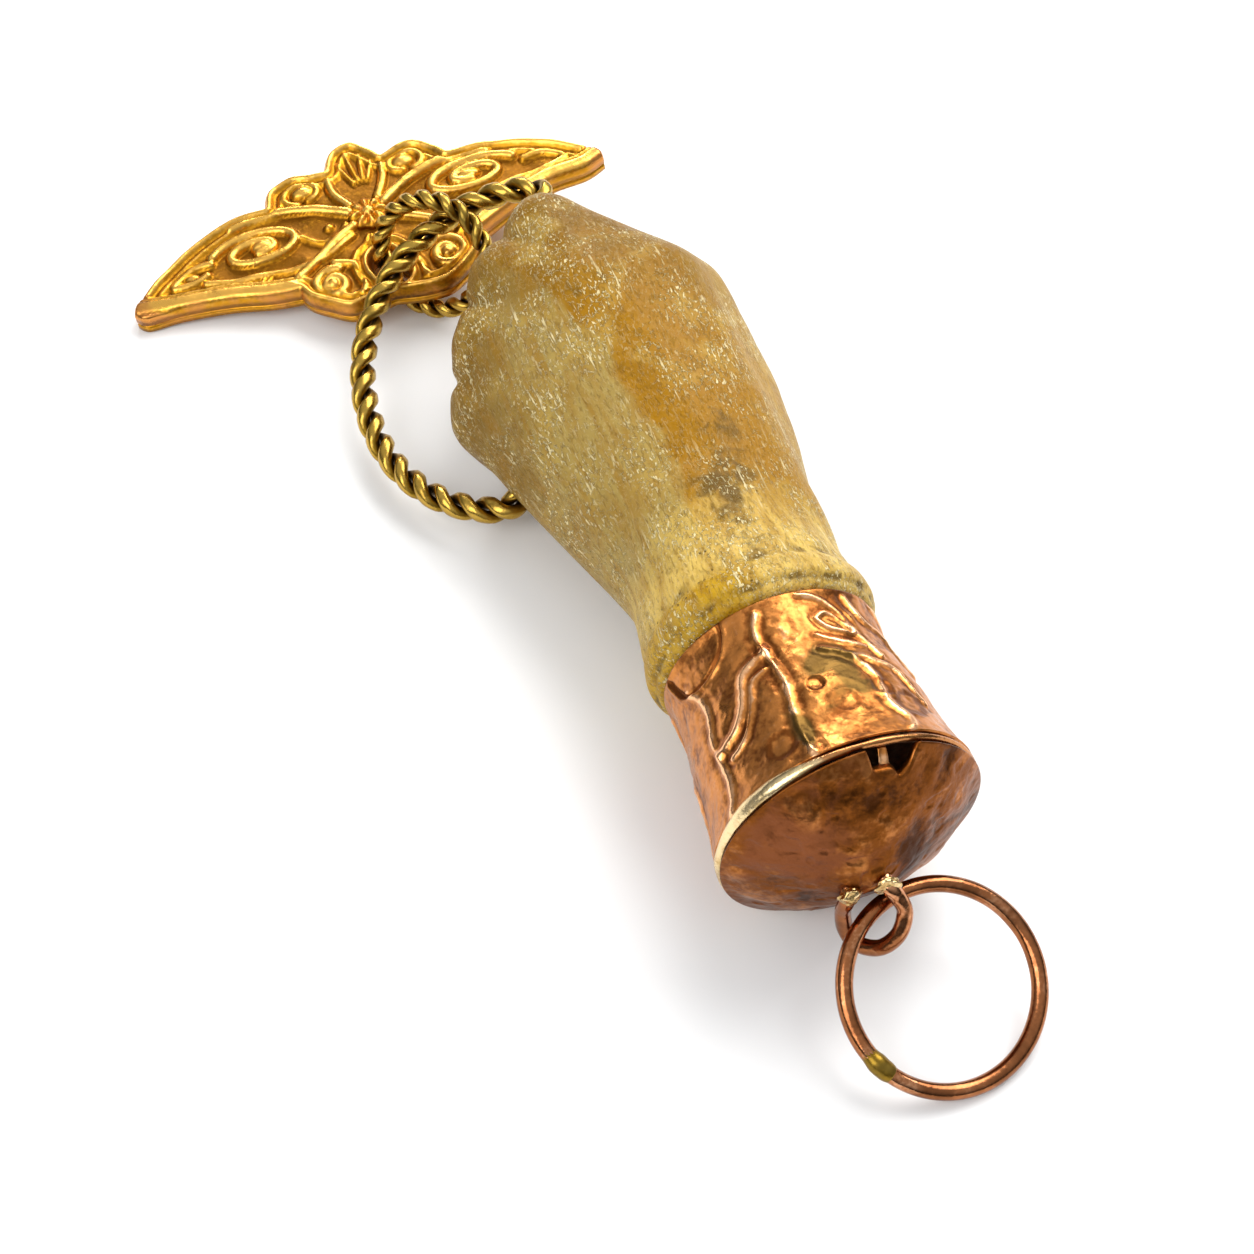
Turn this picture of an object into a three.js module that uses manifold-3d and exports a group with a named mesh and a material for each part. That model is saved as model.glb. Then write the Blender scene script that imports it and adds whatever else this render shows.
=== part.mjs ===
// Carved hand fob charm: a fist of horn in a flared copper cuff, with a wire jump ring at the wrist end,
// a twisted-wire ring through the grip of the fist, and a stamped winged ornament on a small link.
// Millimetres, +Z up. The charm lies on Z = 0, the back of the hand up, with the jump ring at -Y and
// the ornament at +Y.

import * as THREE from 'three';
import Module from 'manifold-3d';
import { mergeVertices } from 'three/addons/utils/BufferGeometryUtils.js';
import { ConvexGeometry } from 'three/addons/geometries/ConvexGeometry.js';

const wasm = await Module();
wasm.setup();

// ---------------------------------------------------------------- driving dimensions

const GAP = 0.05; // left between pieces that touch

const WRIST_END_Y = -13.55;
const TENON_RADIUS = 4.6;
const TENON_LENGTH = 4.5;

const CUFF = new THREE.Vector3(8.8, -13.6, 6.8); // centre of the cuff's wrist end; its axis lies along Y
const CUFF_LENGTH = 9.4;
const FLARE_START = 1.3; // distance from the wrist end at which the cuff begins to widen
const CUFF_SHEET = 0.35;
const BAND_WIDTH = 0.55;
const CAP_HEIGHT = 3.4;
const PITCH_END_Y = -21; // the filling in the cuff ends short of the cap
const NOTCH = { width: 2.5, height: 2.4, depth: 1.5, offset: 1.5 };

const EYELET_WIRE = 0.8;
const BEAD_RADIUS = 0.62; // of the solder at each leg of the eyelet
const JUMP_RING_RADIUS = 4.84; // of the wire's centre line
const JUMP_RING_WIRE = 0.85;
const JUMP_RING_CENTRE = new THREE.Vector3(10.7, -31.0, 2.75);
const JUMP_RING_NORMAL = new THREE.Vector3(0.06, -0.46, 0.88).normalize();
const JUMP_RING_JOINT = THREE.MathUtils.degToRad(338); // where the ring's two ends meet
const JOINT_ANGLE = THREE.MathUtils.degToRad(7); // half the arc that the solder fills

const GRIP_START = new THREE.Vector3(1.1, 3.2, 2.6); // lower mouth of the bore through the grip
const GRIP_ALONG = new THREE.Vector3(0.39, 0.9, 0.22).normalize();
const ROPE_SIDE = new THREE.Vector3(-0.882, 0.43, -0.195);
const GRIP_BORE_RADIUS = 0.98;
const SOLDER_GAP = 0.8; // half the gap between the rope's ends, which its solder fills
const ROPE = { length: 20.6, reach: 9.85, bend: 0.95, wire: 0.74, lay: 0.41, pitch: 3.2, turnSteps: 7 };

const LINK_CENTRE = new THREE.Vector3(2.17, 21.73, 4.0);
const LINK_NORMAL = new THREE.Vector3(0.62, 0.69, -0.38).normalize();
const LINK = { radius: 3.31, wire: 0.58, lay: 0.32, pitch: 2.3, turnSteps: 7 };

const ORNAMENT_CENTRE = new THREE.Vector3(-0.07, 27.55, 2.1);
const ORNAMENT_TILT = THREE.MathUtils.degToRad(-6); // the right wing tip stands higher
const FRONT_THICKNESS = 0.85;
const BACK_THICKNESS = 0.5;
const LINK_CLEARANCE = 0.2; // round the link where it goes through the ornament

// ---------------------------------------------------------------- shape helpers

/** Merges the vertices of a closed geometry and turns its faces outward. */
function closed(geometry) {
  const bare = geometry.clone();
  for (const name of Object.keys(bare.attributes)) {
    if (name !== 'position') bare.deleteAttribute(name);
  }
  const merged = mergeVertices(bare, 1e-4);
  const position = merged.attributes.position;
  const corners = Array.from(merged.index.array);
  const faces = [];
  let volume = 0;
  const [a, b, c] = [new THREE.Vector3(), new THREE.Vector3(), new THREE.Vector3()];
  for (let i = 0; i < corners.length; i += 3) {
    const face = corners.slice(i, i + 3);
    if (new Set(face).size < 3) continue;
    faces.push(face);
    a.fromBufferAttribute(position, face[0]);
    b.fromBufferAttribute(position, face[1]);
    c.fromBufferAttribute(position, face[2]);
    volume += a.dot(b.cross(c));
  }
  if (volume < 0) faces.forEach((face) => face.reverse());
  merged.setIndex(faces.flat());
  return merged;
}

function toSolid(geometry) {
  const merged = closed(geometry);
  return new wasm.Manifold(new wasm.Mesh({
    numProp: 3,
    vertProperties: new Float32Array(merged.attributes.position.array),
    triVerts: new Uint32Array(merged.index.array),
  }));
}

function toGeometry(solid) {
  const mesh = solid.getMesh();
  const geometry = new THREE.BufferGeometry();
  geometry.setAttribute('position', new THREE.BufferAttribute(new Float32Array(mesh.vertProperties), 3));
  geometry.setIndex(Array.from(mesh.triVerts));
  return geometry;
}

/** The convex skin over a list of balls, each [x, y, z, radius]. */
function hull(balls) {
  const points = [];
  for (const [x, y, z, radius] of balls) {
    const ball = new THREE.IcosahedronGeometry(radius, 1).attributes.position;
    for (let i = 0; i < ball.count; i += 1) {
      points.push(new THREE.Vector3(x, y, z).add(new THREE.Vector3().fromBufferAttribute(ball, i)));
    }
  }
  return toSolid(new ConvexGeometry(points));
}

function polygon(radius, sides) {
  const points = [];
  for (let i = 0; i < sides; i += 1) {
    const angle = (i / sides) * 2 * Math.PI;
    points.push(new THREE.Vector2(radius * Math.cos(angle), radius * Math.sin(angle)));
  }
  return new THREE.Shape(points);
}

function tube(curve, diameter, steps, sides = 8) {
  return new THREE.ExtrudeGeometry(polygon(diameter / 2, sides), { steps, extrudePath: curve });
}

/** Spins [radius, distance along +Y] points about the Y axis. */
function lathe(profile, segments = 40) {
  return new THREE.LatheGeometry(profile.map(([radius, y]) => new THREE.Vector2(radius, y)), segments);
}

/** The part of a circle between two angles, in the plane with the given normal. */
class RingArc extends THREE.Curve {
  constructor(centre, normal, radius, from, to) {
    super();
    this.centre = centre;
    this.radius = radius;
    this.from = from;
    this.to = to;
    this.across = new THREE.Vector3().crossVectors(normal, new THREE.Vector3(0, 0, 1)).normalize();
    this.up = new THREE.Vector3().crossVectors(this.across, normal);
  }

  getPoint(t) {
    const angle = this.from + (this.to - this.from) * t;
    return this.centre.clone()
      .addScaledVector(this.across, this.radius * Math.cos(angle))
      .addScaledVector(this.up, this.radius * Math.sin(angle));
  }
}

/** One wire of a two-wire rope: it winds round a flat path that lies in the (along, side) plane. */
class RopeWire extends THREE.Curve {
  constructor(path, origin, along, side, lay, turns, phase) {
    super();
    Object.assign(this, { path, origin, along, side, lay, turns, phase });
    this.normal = new THREE.Vector3().crossVectors(along, side);
  }

  getPoint(t) {
    const flat = this.path.getPointAt(t);
    const tangent = this.path.getTangentAt(t);
    const angle = 2 * Math.PI * this.turns * t + this.phase;
    const inward = this.lay * Math.cos(angle);
    return this.origin.clone()
      .addScaledVector(this.along, flat.x - tangent.y * inward)
      .addScaledVector(this.side, flat.y + tangent.x * inward)
      .addScaledVector(this.normal, this.lay * Math.sin(angle));
  }
}

function ropeWires(path, origin, along, side, rope) {
  const turns = Math.round(path.getLength() / rope.pitch);
  return [0, Math.PI].map((phase) => {
    const wire = new RopeWire(path, origin, along, side, rope.lay, turns, phase);
    return tube(wire, rope.wire, turns * rope.turnSteps, 6);
  });
}

// ---------------------------------------------------------------- the carved hand

// Balls that the hand's skin is stretched over: [x, y, z, radius], little finger first.
const WRIST_BALLS = [[8.1, -8.8, 6.0, 4.3], [8.6, -8.8, 6.6, 4.3], [9.5, -8.8, 6.9, 4.3], [10.4, -8.8, 7.0, 4.3]];
const KNUCKLES = [[4.3, 4.2, 6.6, 3.5], [6.0, 7.0, 8.4, 3.5], [8.1, 9.3, 9.8, 3.5], [11.0, 8.8, 9.6, 3.3]];
const FINGER_BENDS = [[0.9, 8.1, 4.6, 2.0], [2.2, 11.4, 6.6, 2.15], [4.2, 14.2, 8.3, 2.2], [7.2, 16.1, 9.6, 2.2]];
const FINGER_ENDS = [[2.6, 7.2, 2.1, 1.85], [5.0, 11.6, 3.0, 2.0], [7.6, 14.6, 4.0, 2.0], [9.4, 15.8, 5.2, 2.0]];
const FINGER_TIPS = [[5.6, 5.6, 2.1, 1.7], [8.0, 9.2, 2.2, 1.8], [10.0, 11.8, 2.6, 1.8], [11.0, 12.0, 3.4, 1.8]];
const HEEL_BALLS = [[7.9, -4, 5.0, 3.5], [5.3, 4.5, 3.9, 3.4], [10.8, -3, 5.2, 3.8], [11.9, 6.2, 4.6, 3.5]];
const THUMB_BALLS = [[12.0, 5.6, 4.6, 3.0], [12.2, 10.2, 3.6, 2.3], [8.6, 13.6, 2.1, 1.8]];
const FINGER_ROOT_RADIUS = 2.9;

function fingers() {
  return FINGER_BENDS.map((bend, i) => {
    const [x, y, z] = KNUCKLES[i];
    return hull([[x, y, z, FINGER_ROOT_RADIUS], bend])
      .add(hull([bend, FINGER_ENDS[i]]))
      .add(hull([FINGER_ENDS[i], FINGER_TIPS[i]]));
  });
}

function palm() {
  const rays = KNUCKLES.slice(1).map((knuckle, i) => (
    hull([WRIST_BALLS[i], WRIST_BALLS[i + 1], KNUCKLES[i], knuckle])
  ));
  const heel = hull(HEEL_BALLS);
  return rays.reduce((sum, ray) => sum.add(ray), heel);
}

function thumb() {
  return hull(THUMB_BALLS.slice(0, 2)).add(hull(THUMB_BALLS.slice(1)));
}

function wristAndTenon() {
  const profile = [
    [0, WRIST_END_Y - TENON_LENGTH], [TENON_RADIUS, WRIST_END_Y - TENON_LENGTH], [TENON_RADIUS, WRIST_END_Y],
    [5.85, WRIST_END_Y], [6.15, -12.7], [6.1, -12.0], [5.75, -10.8], [5.3, -8.4], [5.1, -4], [0, -4],
  ];
  return toSolid(lathe(profile).translate(CUFF.x, 0, CUFF.z));
}

function gripBore() {
  const bore = new THREE.CylinderGeometry(GRIP_BORE_RADIUS, GRIP_BORE_RADIUS, 2 * ROPE.length, 16);
  bore.applyQuaternion(new THREE.Quaternion().setFromUnitVectors(new THREE.Vector3(0, 1, 0), GRIP_ALONG));
  const middle = GRIP_START.clone().addScaledVector(GRIP_ALONG, ROPE.length / 2);
  return toSolid(bore.translate(middle.x, middle.y, middle.z));
}

function carvedHand() {
  let hand = wristAndTenon().add(palm()).add(thumb());
  for (const finger of fingers()) hand = hand.add(finger);
  return toGeometry(hand.subtract(gripBore()));
}

// ---------------------------------------------------------------- the copper cuff

function cuffRadius(distance) {
  const flare = Math.max(0, distance - FLARE_START) / (CUFF_LENGTH - FLARE_START);
  return 5.6 + 0.08 * Math.cos(distance + FLARE_START) + 1.06 * flare ** 1.8;
}

function cuffSleeve() {
  const steps = 8;
  const outer = [];
  for (let i = 0; i <= steps; i += 1) {
    const distance = (CUFF_LENGTH * i) / steps;
    outer.push([cuffRadius(distance), -distance]);
  }
  const inner = outer.map(([radius, y]) => [radius - CUFF_SHEET, y]).reverse();
  return lathe([...outer, ...inner, outer[0]]).translate(CUFF.x, CUFF.y, CUFF.z);
}

function rimBand() {
  const top = CUFF.y - CUFF_LENGTH - GAP;
  const outer = cuffRadius(CUFF_LENGTH);
  const profile = [
    [outer - 0.05, top], [outer + 0.08, top - BAND_WIDTH / 2], [outer, top - BAND_WIDTH],
    [outer - 0.6, top - BAND_WIDTH], [outer - 0.6, top], [outer - 0.05, top],
  ];
  return lathe(profile).translate(CUFF.x, 0, CUFF.z);
}

const CAP_RIM_Y = CUFF.y - CUFF_LENGTH - BAND_WIDTH - 2 * GAP;
const CAP_RADIUS = cuffRadius(CUFF_LENGTH);
const CAP_OUTSIDE = [
  [0, -CAP_HEIGHT], [0.9, -CAP_HEIGHT + 0.15], [3.9, -1.9], [CAP_RADIUS - 0.5, -0.45], [CAP_RADIUS, -0.1],
];
const CAP_INSIDE = [
  [CAP_RADIUS, 0], [CAP_RADIUS - 0.6, 0], [3.9, -1.5], [0.8, -CAP_HEIGHT + 0.55], [0, -CAP_HEIGHT + 0.5],
];

function endCap() {
  const shell = toSolid(lathe([...CAP_OUTSIDE, ...CAP_INSIDE]).translate(CUFF.x, CAP_RIM_Y, CUFF.z));
  const bite = new THREE.BoxGeometry(NOTCH.width, NOTCH.depth * 2, NOTCH.height);
  bite.translate(CUFF.x + NOTCH.offset, CAP_RIM_Y, CUFF.z + CAP_RADIUS);
  let cap = shell.subtract(toSolid(bite));
  for (const leg of eyeletLegHoles()) cap = cap.subtract(leg);
  return toGeometry(cap);
}

function pitchFilling() {
  const tenonEnd = WRIST_END_Y - TENON_LENGTH - GAP;
  const mouth = CUFF.y - 0.3;
  const bore = TENON_RADIUS + GAP;
  const profile = [
    [0, tenonEnd], [bore, tenonEnd], [bore, mouth], [5.0, mouth], [5.0, tenonEnd],
    [5.2, PITCH_END_Y], [0, PITCH_END_Y],
  ];
  return lathe(profile).translate(CUFF.x, 0, CUFF.z);
}

// ---------------------------------------------------------------- eyelet and jump ring

const EYELET_POINTS = [
  [8.0, -24.6, 6.6], [7.42, -26.66, 6.4], [7.24, -26.75, 4.9], [7.4, -27.0, 3.5], [7.78, -27.67, 3.0],
  [8.5, -28.5, 3.65], [9.3, -28.6, 4.6], [9.75, -28.1, 5.6], [9.55, -27.6, 6.3], [9.15, -26.9, 6.9],
  [9.2, -24.6, 7.0],
].map(([x, y, z]) => new THREE.Vector3(x, y, z));

const eyeletCurve = new THREE.CatmullRomCurve3(EYELET_POINTS);

function eyelet() {
  return tube(eyeletCurve, EYELET_WIRE, 48);
}

/** The tunnels that the eyelet's two legs take through the cap. */
function eyeletLegHoles() {
  const ends = [EYELET_POINTS.slice(0, 3), EYELET_POINTS.slice(-3)];
  return ends.map((points) => toSolid(tube(new THREE.CatmullRomCurve3(points), EYELET_WIRE + 0.5, 12, 10)));
}

/** Solder round one leg of the eyelet, seated on the cap. */
function solderBead(leg) {
  const bead = hull([[leg.x, leg.y, leg.z, BEAD_RADIUS]]);
  const wire = toSolid(tube(eyeletCurve, EYELET_WIRE + 2 * GAP, 48));
  const underCap = toSolid(lathe([...CAP_OUTSIDE, [0, 0]]).translate(CUFF.x, CAP_RIM_Y - GAP, CUFF.z));
  return toGeometry(bead.subtract(wire).subtract(underCap));
}

function jumpRing() {
  const from = JOINT_ANGLE + JUMP_RING_JOINT;
  const to = 2 * Math.PI - JOINT_ANGLE + JUMP_RING_JOINT;
  const arc = new RingArc(JUMP_RING_CENTRE, JUMP_RING_NORMAL, JUMP_RING_RADIUS, from, to);
  return tube(arc, JUMP_RING_WIRE, 56);
}

function jumpRingSolder() {
  const half = JOINT_ANGLE - GAP / JUMP_RING_RADIUS;
  const arc = new RingArc(
    JUMP_RING_CENTRE, JUMP_RING_NORMAL, JUMP_RING_RADIUS, JUMP_RING_JOINT - half, JUMP_RING_JOINT + half,
  );
  return tube(arc, JUMP_RING_WIRE + 0.12, 4);
}

// ---------------------------------------------------------------- rope ring and link ring

const ropeSide = ROPE_SIDE.clone().addScaledVector(GRIP_ALONG, -ROPE_SIDE.dot(GRIP_ALONG)).normalize();

/** The rope ring's centre line: straight through the grip, then a wide bow outside the fist. */
function ropePath() {
  const { length, reach, bend } = ROPE;
  const start = length / 2 + SOLDER_GAP;
  const path = new THREE.Path();
  path.moveTo(start, 0);
  path.lineTo(length - bend, 0);
  path.absarc(length - bend, bend, bend, -Math.PI / 2, 0, false);
  path.absellipse(length / 2, bend, length / 2, reach - bend, 0, Math.PI, false);
  path.absarc(bend, bend, bend, Math.PI, 1.5 * Math.PI, false);
  path.lineTo(length / 2 - SOLDER_GAP, 0);
  return path;
}

function ropeSolder() {
  const middle = GRIP_START.clone().addScaledVector(GRIP_ALONG, ROPE.length / 2);
  const bead = new THREE.CylinderGeometry(0.7, 0.7, 1.0, 10);
  bead.applyQuaternion(new THREE.Quaternion().setFromUnitVectors(new THREE.Vector3(0, 1, 0), GRIP_ALONG));
  return bead.translate(middle.x, middle.y, middle.z);
}

const linkAcross = new THREE.Vector3().crossVectors(LINK_NORMAL, new THREE.Vector3(0, 0, 1)).normalize();
const linkUp = new THREE.Vector3().crossVectors(LINK_NORMAL, linkAcross);
const LINK_JOINT = THREE.MathUtils.degToRad(20);

function linkPath() {
  const path = new THREE.Path();
  path.absarc(0, 0, LINK.radius, LINK_JOINT, LINK_JOINT + 2 * Math.PI - 0.16, false);
  return path;
}

function linkSolder() {
  const angle = LINK_JOINT - 0.08;
  const half = 0.035;
  const arc = new THREE.Path();
  arc.absarc(0, 0, LINK.radius, angle - half, angle + half, false);
  return tube(new RopeWire(arc, LINK_CENTRE, linkAcross, linkUp, 0, 0, 0), 2 * (LINK.lay + LINK.wire / 2), 3);
}

// ---------------------------------------------------------------- stamped ornament

/** Outline of the whole ornament, wings across X and petals towards +Y. */
function ornamentOutline() {
  const edges = [
    [[-14.6, -1.0], [-13.25, 0.3], [-10.7, 2.0], [-7.9, 3.1], [-5.7, 3.1]], // left wing
    [[-5.2, 4.3], [-3.7, 4.9], [-2.4, 4.6], [-1.6, 4.5]], // left petal
    [[-0.9, 5.8], [0.6, 6.2], [1.6, 5.2], [2.1, 4.4]], // middle petal
    [[3.5, 4.8], [4.5, 4.55], [5.5, 3.5], [5.9, 2.9]], // right petal
    [[8.05, 2.7], [10.6, 1.8], [12.5, 0.7], [14.2, -0.9], [14.35, -1.6]], // right wing
    [[13.0, -2.1], [10.7, -2.2], [8.0, -3.1], [5.4, -4.3]],
    [[5.2, -5.6], [3.2, -7.1], [1.6, -7.2], [-0.4, -6.65]], // cartouche
    [[-1.9, -6.8], [-3.1, -6.85], [-4.2, -6.0], [-5.1, -5.1], [-5.5, -4.3]],
    [[-7.3, -3.9], [-9.6, -3.1], [-12.5, -2.5], [-14.4, -2.4], [-15.0, -1.8]],
  ];
  const shape = new THREE.Shape();
  shape.moveTo(-15.0, -1.8);
  for (const edge of edges) shape.splineThru(edge.map(([x, y]) => new THREE.Vector2(x, y)));
  return shape;
}

/** The space that the link sweeps through the ornament, in the ornament's own frame. */
function linkTunnel() {
  const sweep = new THREE.TorusGeometry(LINK.radius, LINK.wire / 2 + LINK.lay + LINK_CLEARANCE, 10, 48);
  sweep.applyQuaternion(new THREE.Quaternion().setFromUnitVectors(new THREE.Vector3(0, 0, 1), LINK_NORMAL));
  sweep.translate(...LINK_CENTRE.clone().sub(ORNAMENT_CENTRE).toArray());
  return toSolid(sweep.rotateY(-ORNAMENT_TILT));
}

/** A sheet with the ornament's outline, from one height to another, pierced for the link. */
function ornamentSheet(bottom, top) {
  const sheet = new THREE.ExtrudeGeometry(ornamentOutline(), {
    depth: top - bottom, bevelEnabled: false, curveSegments: 4,
  });
  return toGeometry(toSolid(sheet.translate(0, 0, bottom)).subtract(linkTunnel()));
}

function rosetteBoss() {
  return lathe([[0, 0], [1.25, 0], [1.3, 0.2], [0.9, 0.5], [0.4, 0.45], [0, 0.6]], 16).rotateX(Math.PI / 2);
}

// ---------------------------------------------------------------- assembly

const material = (color, roughness, metalness) => new THREE.MeshStandardMaterial({ color, roughness, metalness });
const horn = () => material(0xb5955a, 0.4, 0);
const copper = () => material(0xb5704a, 0.3, 1);
const paleGold = () => material(0xc9ab72, 0.3, 1);
const roseGold = () => material(0xa5624a, 0.2, 1);
const brass = () => material(0x8a7434, 0.3, 1);
const gilt = () => material(0xc9962e, 0.3, 1);
const pitch = () => material(0x3a2a1c, 0.8, 0);

const charm = new THREE.Group();

function addPiece(name, geometry, finish, parent = charm) {
  const mesh = new THREE.Mesh(closed(geometry), finish);
  mesh.name = name;
  parent.add(mesh);
  return mesh;
}

addPiece('carved_hand', carvedHand(), horn());
addPiece('pitch_filling', pitchFilling(), pitch());
addPiece('cuff_sleeve', cuffSleeve(), copper());
addPiece('rim_band', rimBand(), paleGold());
addPiece('end_cap', endCap(), copper());
addPiece('eyelet', eyelet(), roseGold());
addPiece('eyelet_solder_left', solderBead(EYELET_POINTS[1]), paleGold());
addPiece('eyelet_solder_right', solderBead(EYELET_POINTS.at(-2)), paleGold());
addPiece('jump_ring', jumpRing(), roseGold());
addPiece('jump_ring_solder', jumpRingSolder(), paleGold());

const [ropeWireA, ropeWireB] = ropeWires(ropePath(), GRIP_START, GRIP_ALONG, ropeSide, ROPE);
addPiece('rope_wire_a', ropeWireA, brass());
addPiece('rope_wire_b', ropeWireB, brass());
addPiece('rope_solder', ropeSolder(), brass());

const [linkWireA, linkWireB] = ropeWires(linkPath(), LINK_CENTRE, linkAcross, linkUp, LINK);
addPiece('link_wire_a', linkWireA, brass());
addPiece('link_wire_b', linkWireB, brass());
addPiece('link_solder', linkSolder(), brass());

const ornament = new THREE.Group();
ornament.position.copy(ORNAMENT_CENTRE);
ornament.rotation.y = ORNAMENT_TILT;
charm.add(ornament);
addPiece('ornament_front', ornamentSheet(0, FRONT_THICKNESS), gilt(), ornament);
addPiece('ornament_back', ornamentSheet(-BACK_THICKNESS, -GAP), gilt(), ornament);
addPiece('rosette_boss', rosetteBoss(), gilt(), ornament).position.z = FRONT_THICKNESS + GAP;

// The origin is the middle of the box's underside.
const box = new THREE.Box3().setFromObject(charm);
charm.position.set(-(box.min.x + box.max.x) / 2, -(box.min.y + box.max.y) / 2, -box.min.z);

export default charm;
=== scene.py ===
"""Looks of the carved hand fob charm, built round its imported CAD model. Lengths here are in millimetres."""
import itertools
import math

import bmesh
import bpy
import numpy as np
from mathutils import Matrix, Vector


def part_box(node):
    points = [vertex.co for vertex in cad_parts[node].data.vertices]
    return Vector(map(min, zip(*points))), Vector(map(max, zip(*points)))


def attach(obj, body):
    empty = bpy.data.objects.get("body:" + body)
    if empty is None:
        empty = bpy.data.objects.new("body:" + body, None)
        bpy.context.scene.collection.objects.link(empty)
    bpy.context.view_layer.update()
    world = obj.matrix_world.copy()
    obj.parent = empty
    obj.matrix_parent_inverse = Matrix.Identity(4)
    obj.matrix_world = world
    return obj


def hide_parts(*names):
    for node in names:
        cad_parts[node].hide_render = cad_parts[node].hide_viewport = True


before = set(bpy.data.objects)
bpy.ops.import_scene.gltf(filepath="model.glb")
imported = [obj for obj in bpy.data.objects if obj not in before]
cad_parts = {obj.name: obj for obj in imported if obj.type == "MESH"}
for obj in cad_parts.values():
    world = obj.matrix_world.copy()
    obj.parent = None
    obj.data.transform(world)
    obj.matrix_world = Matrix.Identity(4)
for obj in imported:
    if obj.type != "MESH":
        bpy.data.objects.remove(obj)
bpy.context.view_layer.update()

MM = 0.001

# ---------------------------------------------------------------- places taken from the frame

CUFF_DESIGN = np.array([8.8, -13.6, 6.8])  # the cuff's wrist end in the part's own design coordinates
cuff_low, cuff_high = (np.array(corner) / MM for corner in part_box("cuff_sleeve"))
CUFF = np.array([(cuff_low[0] + cuff_high[0]) / 2, cuff_high[1], (cuff_low[2] + cuff_high[2]) / 2])
SHIFT = CUFF - CUFF_DESIGN  # from design coordinates to the row frame

# ---------------------------------------------------------------- numbers and curves


def noise(points, size, seed):
    """Smooth random values from -1 to 1 at each point, with features of about that size."""
    count = 32
    lattice = np.random.default_rng(seed).uniform(-1, 1, (count, count, count))
    place = points / size + count
    cell = np.floor(place).astype(int)
    part = place - cell
    part = part * part * (3 - 2 * part)
    total = np.zeros(points.shape[:-1])
    for corner in itertools.product((0, 1), repeat=3):
        weight = np.ones(points.shape[:-1])
        for axis, far in enumerate(corner):
            weight = weight * (part[..., axis] if far else 1 - part[..., axis])
        at = (cell + corner) % count
        total += weight * lattice[at[..., 0], at[..., 1], at[..., 2]]
    return total


def rough(points, size, seed, octaves=3):
    """Noise with finer noise on it."""
    return sum(noise(points, size / 2 ** i, seed + i) / 2 ** i for i in range(octaves))


def step(low, high, value):
    """0 below low, 1 above high, smooth between."""
    t = np.clip((value - low) / (high - low), 0, 1)
    return t * t * (3 - 2 * t)


def hump(value, middle, width):
    """1 at the middle, falling smoothly to 0 over a few widths."""
    return np.exp(-(((value - middle) / width) ** 2))


def spline(points, per_span=10):
    """A smooth line through the points."""
    points = np.array(points, float)
    ends = np.vstack([points[0], points, points[-1]])
    t = np.linspace(0, 1, per_span, endpoint=False)[:, None]
    spans = []
    for a, b, c, d in zip(ends[:-3], ends[1:-2], ends[2:-1], ends[3:]):
        v0, v1 = (c - a) / 2, (d - b) / 2
        spans.append((2 * b - 2 * c + v0 + v1) * t ** 3 + (3 * c - 3 * b - 2 * v0 - v1) * t ** 2 + v0 * t + b)
    return np.vstack(spans + [points[-1:]])


def distance_to(line, x, y):
    """Distance from each point to a flat line."""
    best = np.full(x.shape, np.inf)
    for (x0, y0), (x1, y1) in zip(line[:-1], line[1:]):
        dx, dy = x1 - x0, y1 - y0
        t = np.clip(((x - x0) * dx + (y - y0) * dy) / max(dx * dx + dy * dy, 1e-12), 0, 1)
        best = np.minimum(best, np.hypot(x - x0 - t * dx, y - y0 - t * dy))
    return best


def unit(vector):
    return np.array(vector, float) / np.linalg.norm(vector)


# ---------------------------------------------------------------- meshes


def make(name, vertices, faces, body, look, stands_for, marks=None):
    """Adds a smooth piece that rides on a body, from millimetre vertices. marks are named point values."""
    mesh = bpy.data.meshes.new(name)
    mesh.from_pydata((np.asarray(vertices) * MM).tolist(), [], [tuple(face) for face in faces])
    for mark, values in (marks or {}).items():
        layer = mesh.attributes.new(mark, "FLOAT", "POINT")
        layer.data.foreach_set("value", np.asarray(values, np.float32))
    work = bmesh.new()
    work.from_mesh(mesh)
    bmesh.ops.recalc_face_normals(work, faces=work.faces)
    work.to_mesh(mesh)
    work.free()
    mesh.polygons.foreach_set("use_smooth", [True] * len(mesh.polygons))
    mesh.materials.append(look)
    piece = bpy.data.objects.new(name, mesh)
    bpy.context.scene.collection.objects.link(piece)
    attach(piece, body)
    if stands_for:
        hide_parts(*stands_for)


def ring_faces(rings, around, closed=False):
    """Quads between rings of points, with the first and last rings filled or joined."""
    last = rings if closed else rings - 1
    i, j = np.meshgrid(np.arange(last), np.arange(around), indexing="ij")
    here, there = i * around, (i + 1) % rings * around
    nxt = (j + 1) % around
    quads = np.stack([here + j, here + nxt, there + nxt, there + j], -1).reshape(-1, 4).tolist()
    if not closed:
        quads.append(list(range(around))[::-1])
        quads.append(list(range((rings - 1) * around, rings * around)))
    return quads


def make_rings(name, rings, body, look, stands_for, high, tint, closed=False):
    """Adds a piece made of rings of points, with its high and tint marks."""
    shape = rings.shape[:2]
    marks = {"high": np.broadcast_to(high, shape).ravel(), "tint": np.broadcast_to(tint, shape).ravel()}
    make(name, rings.reshape(-1, 3), ring_faces(*shape, closed), body, look, stands_for, marks)


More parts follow.
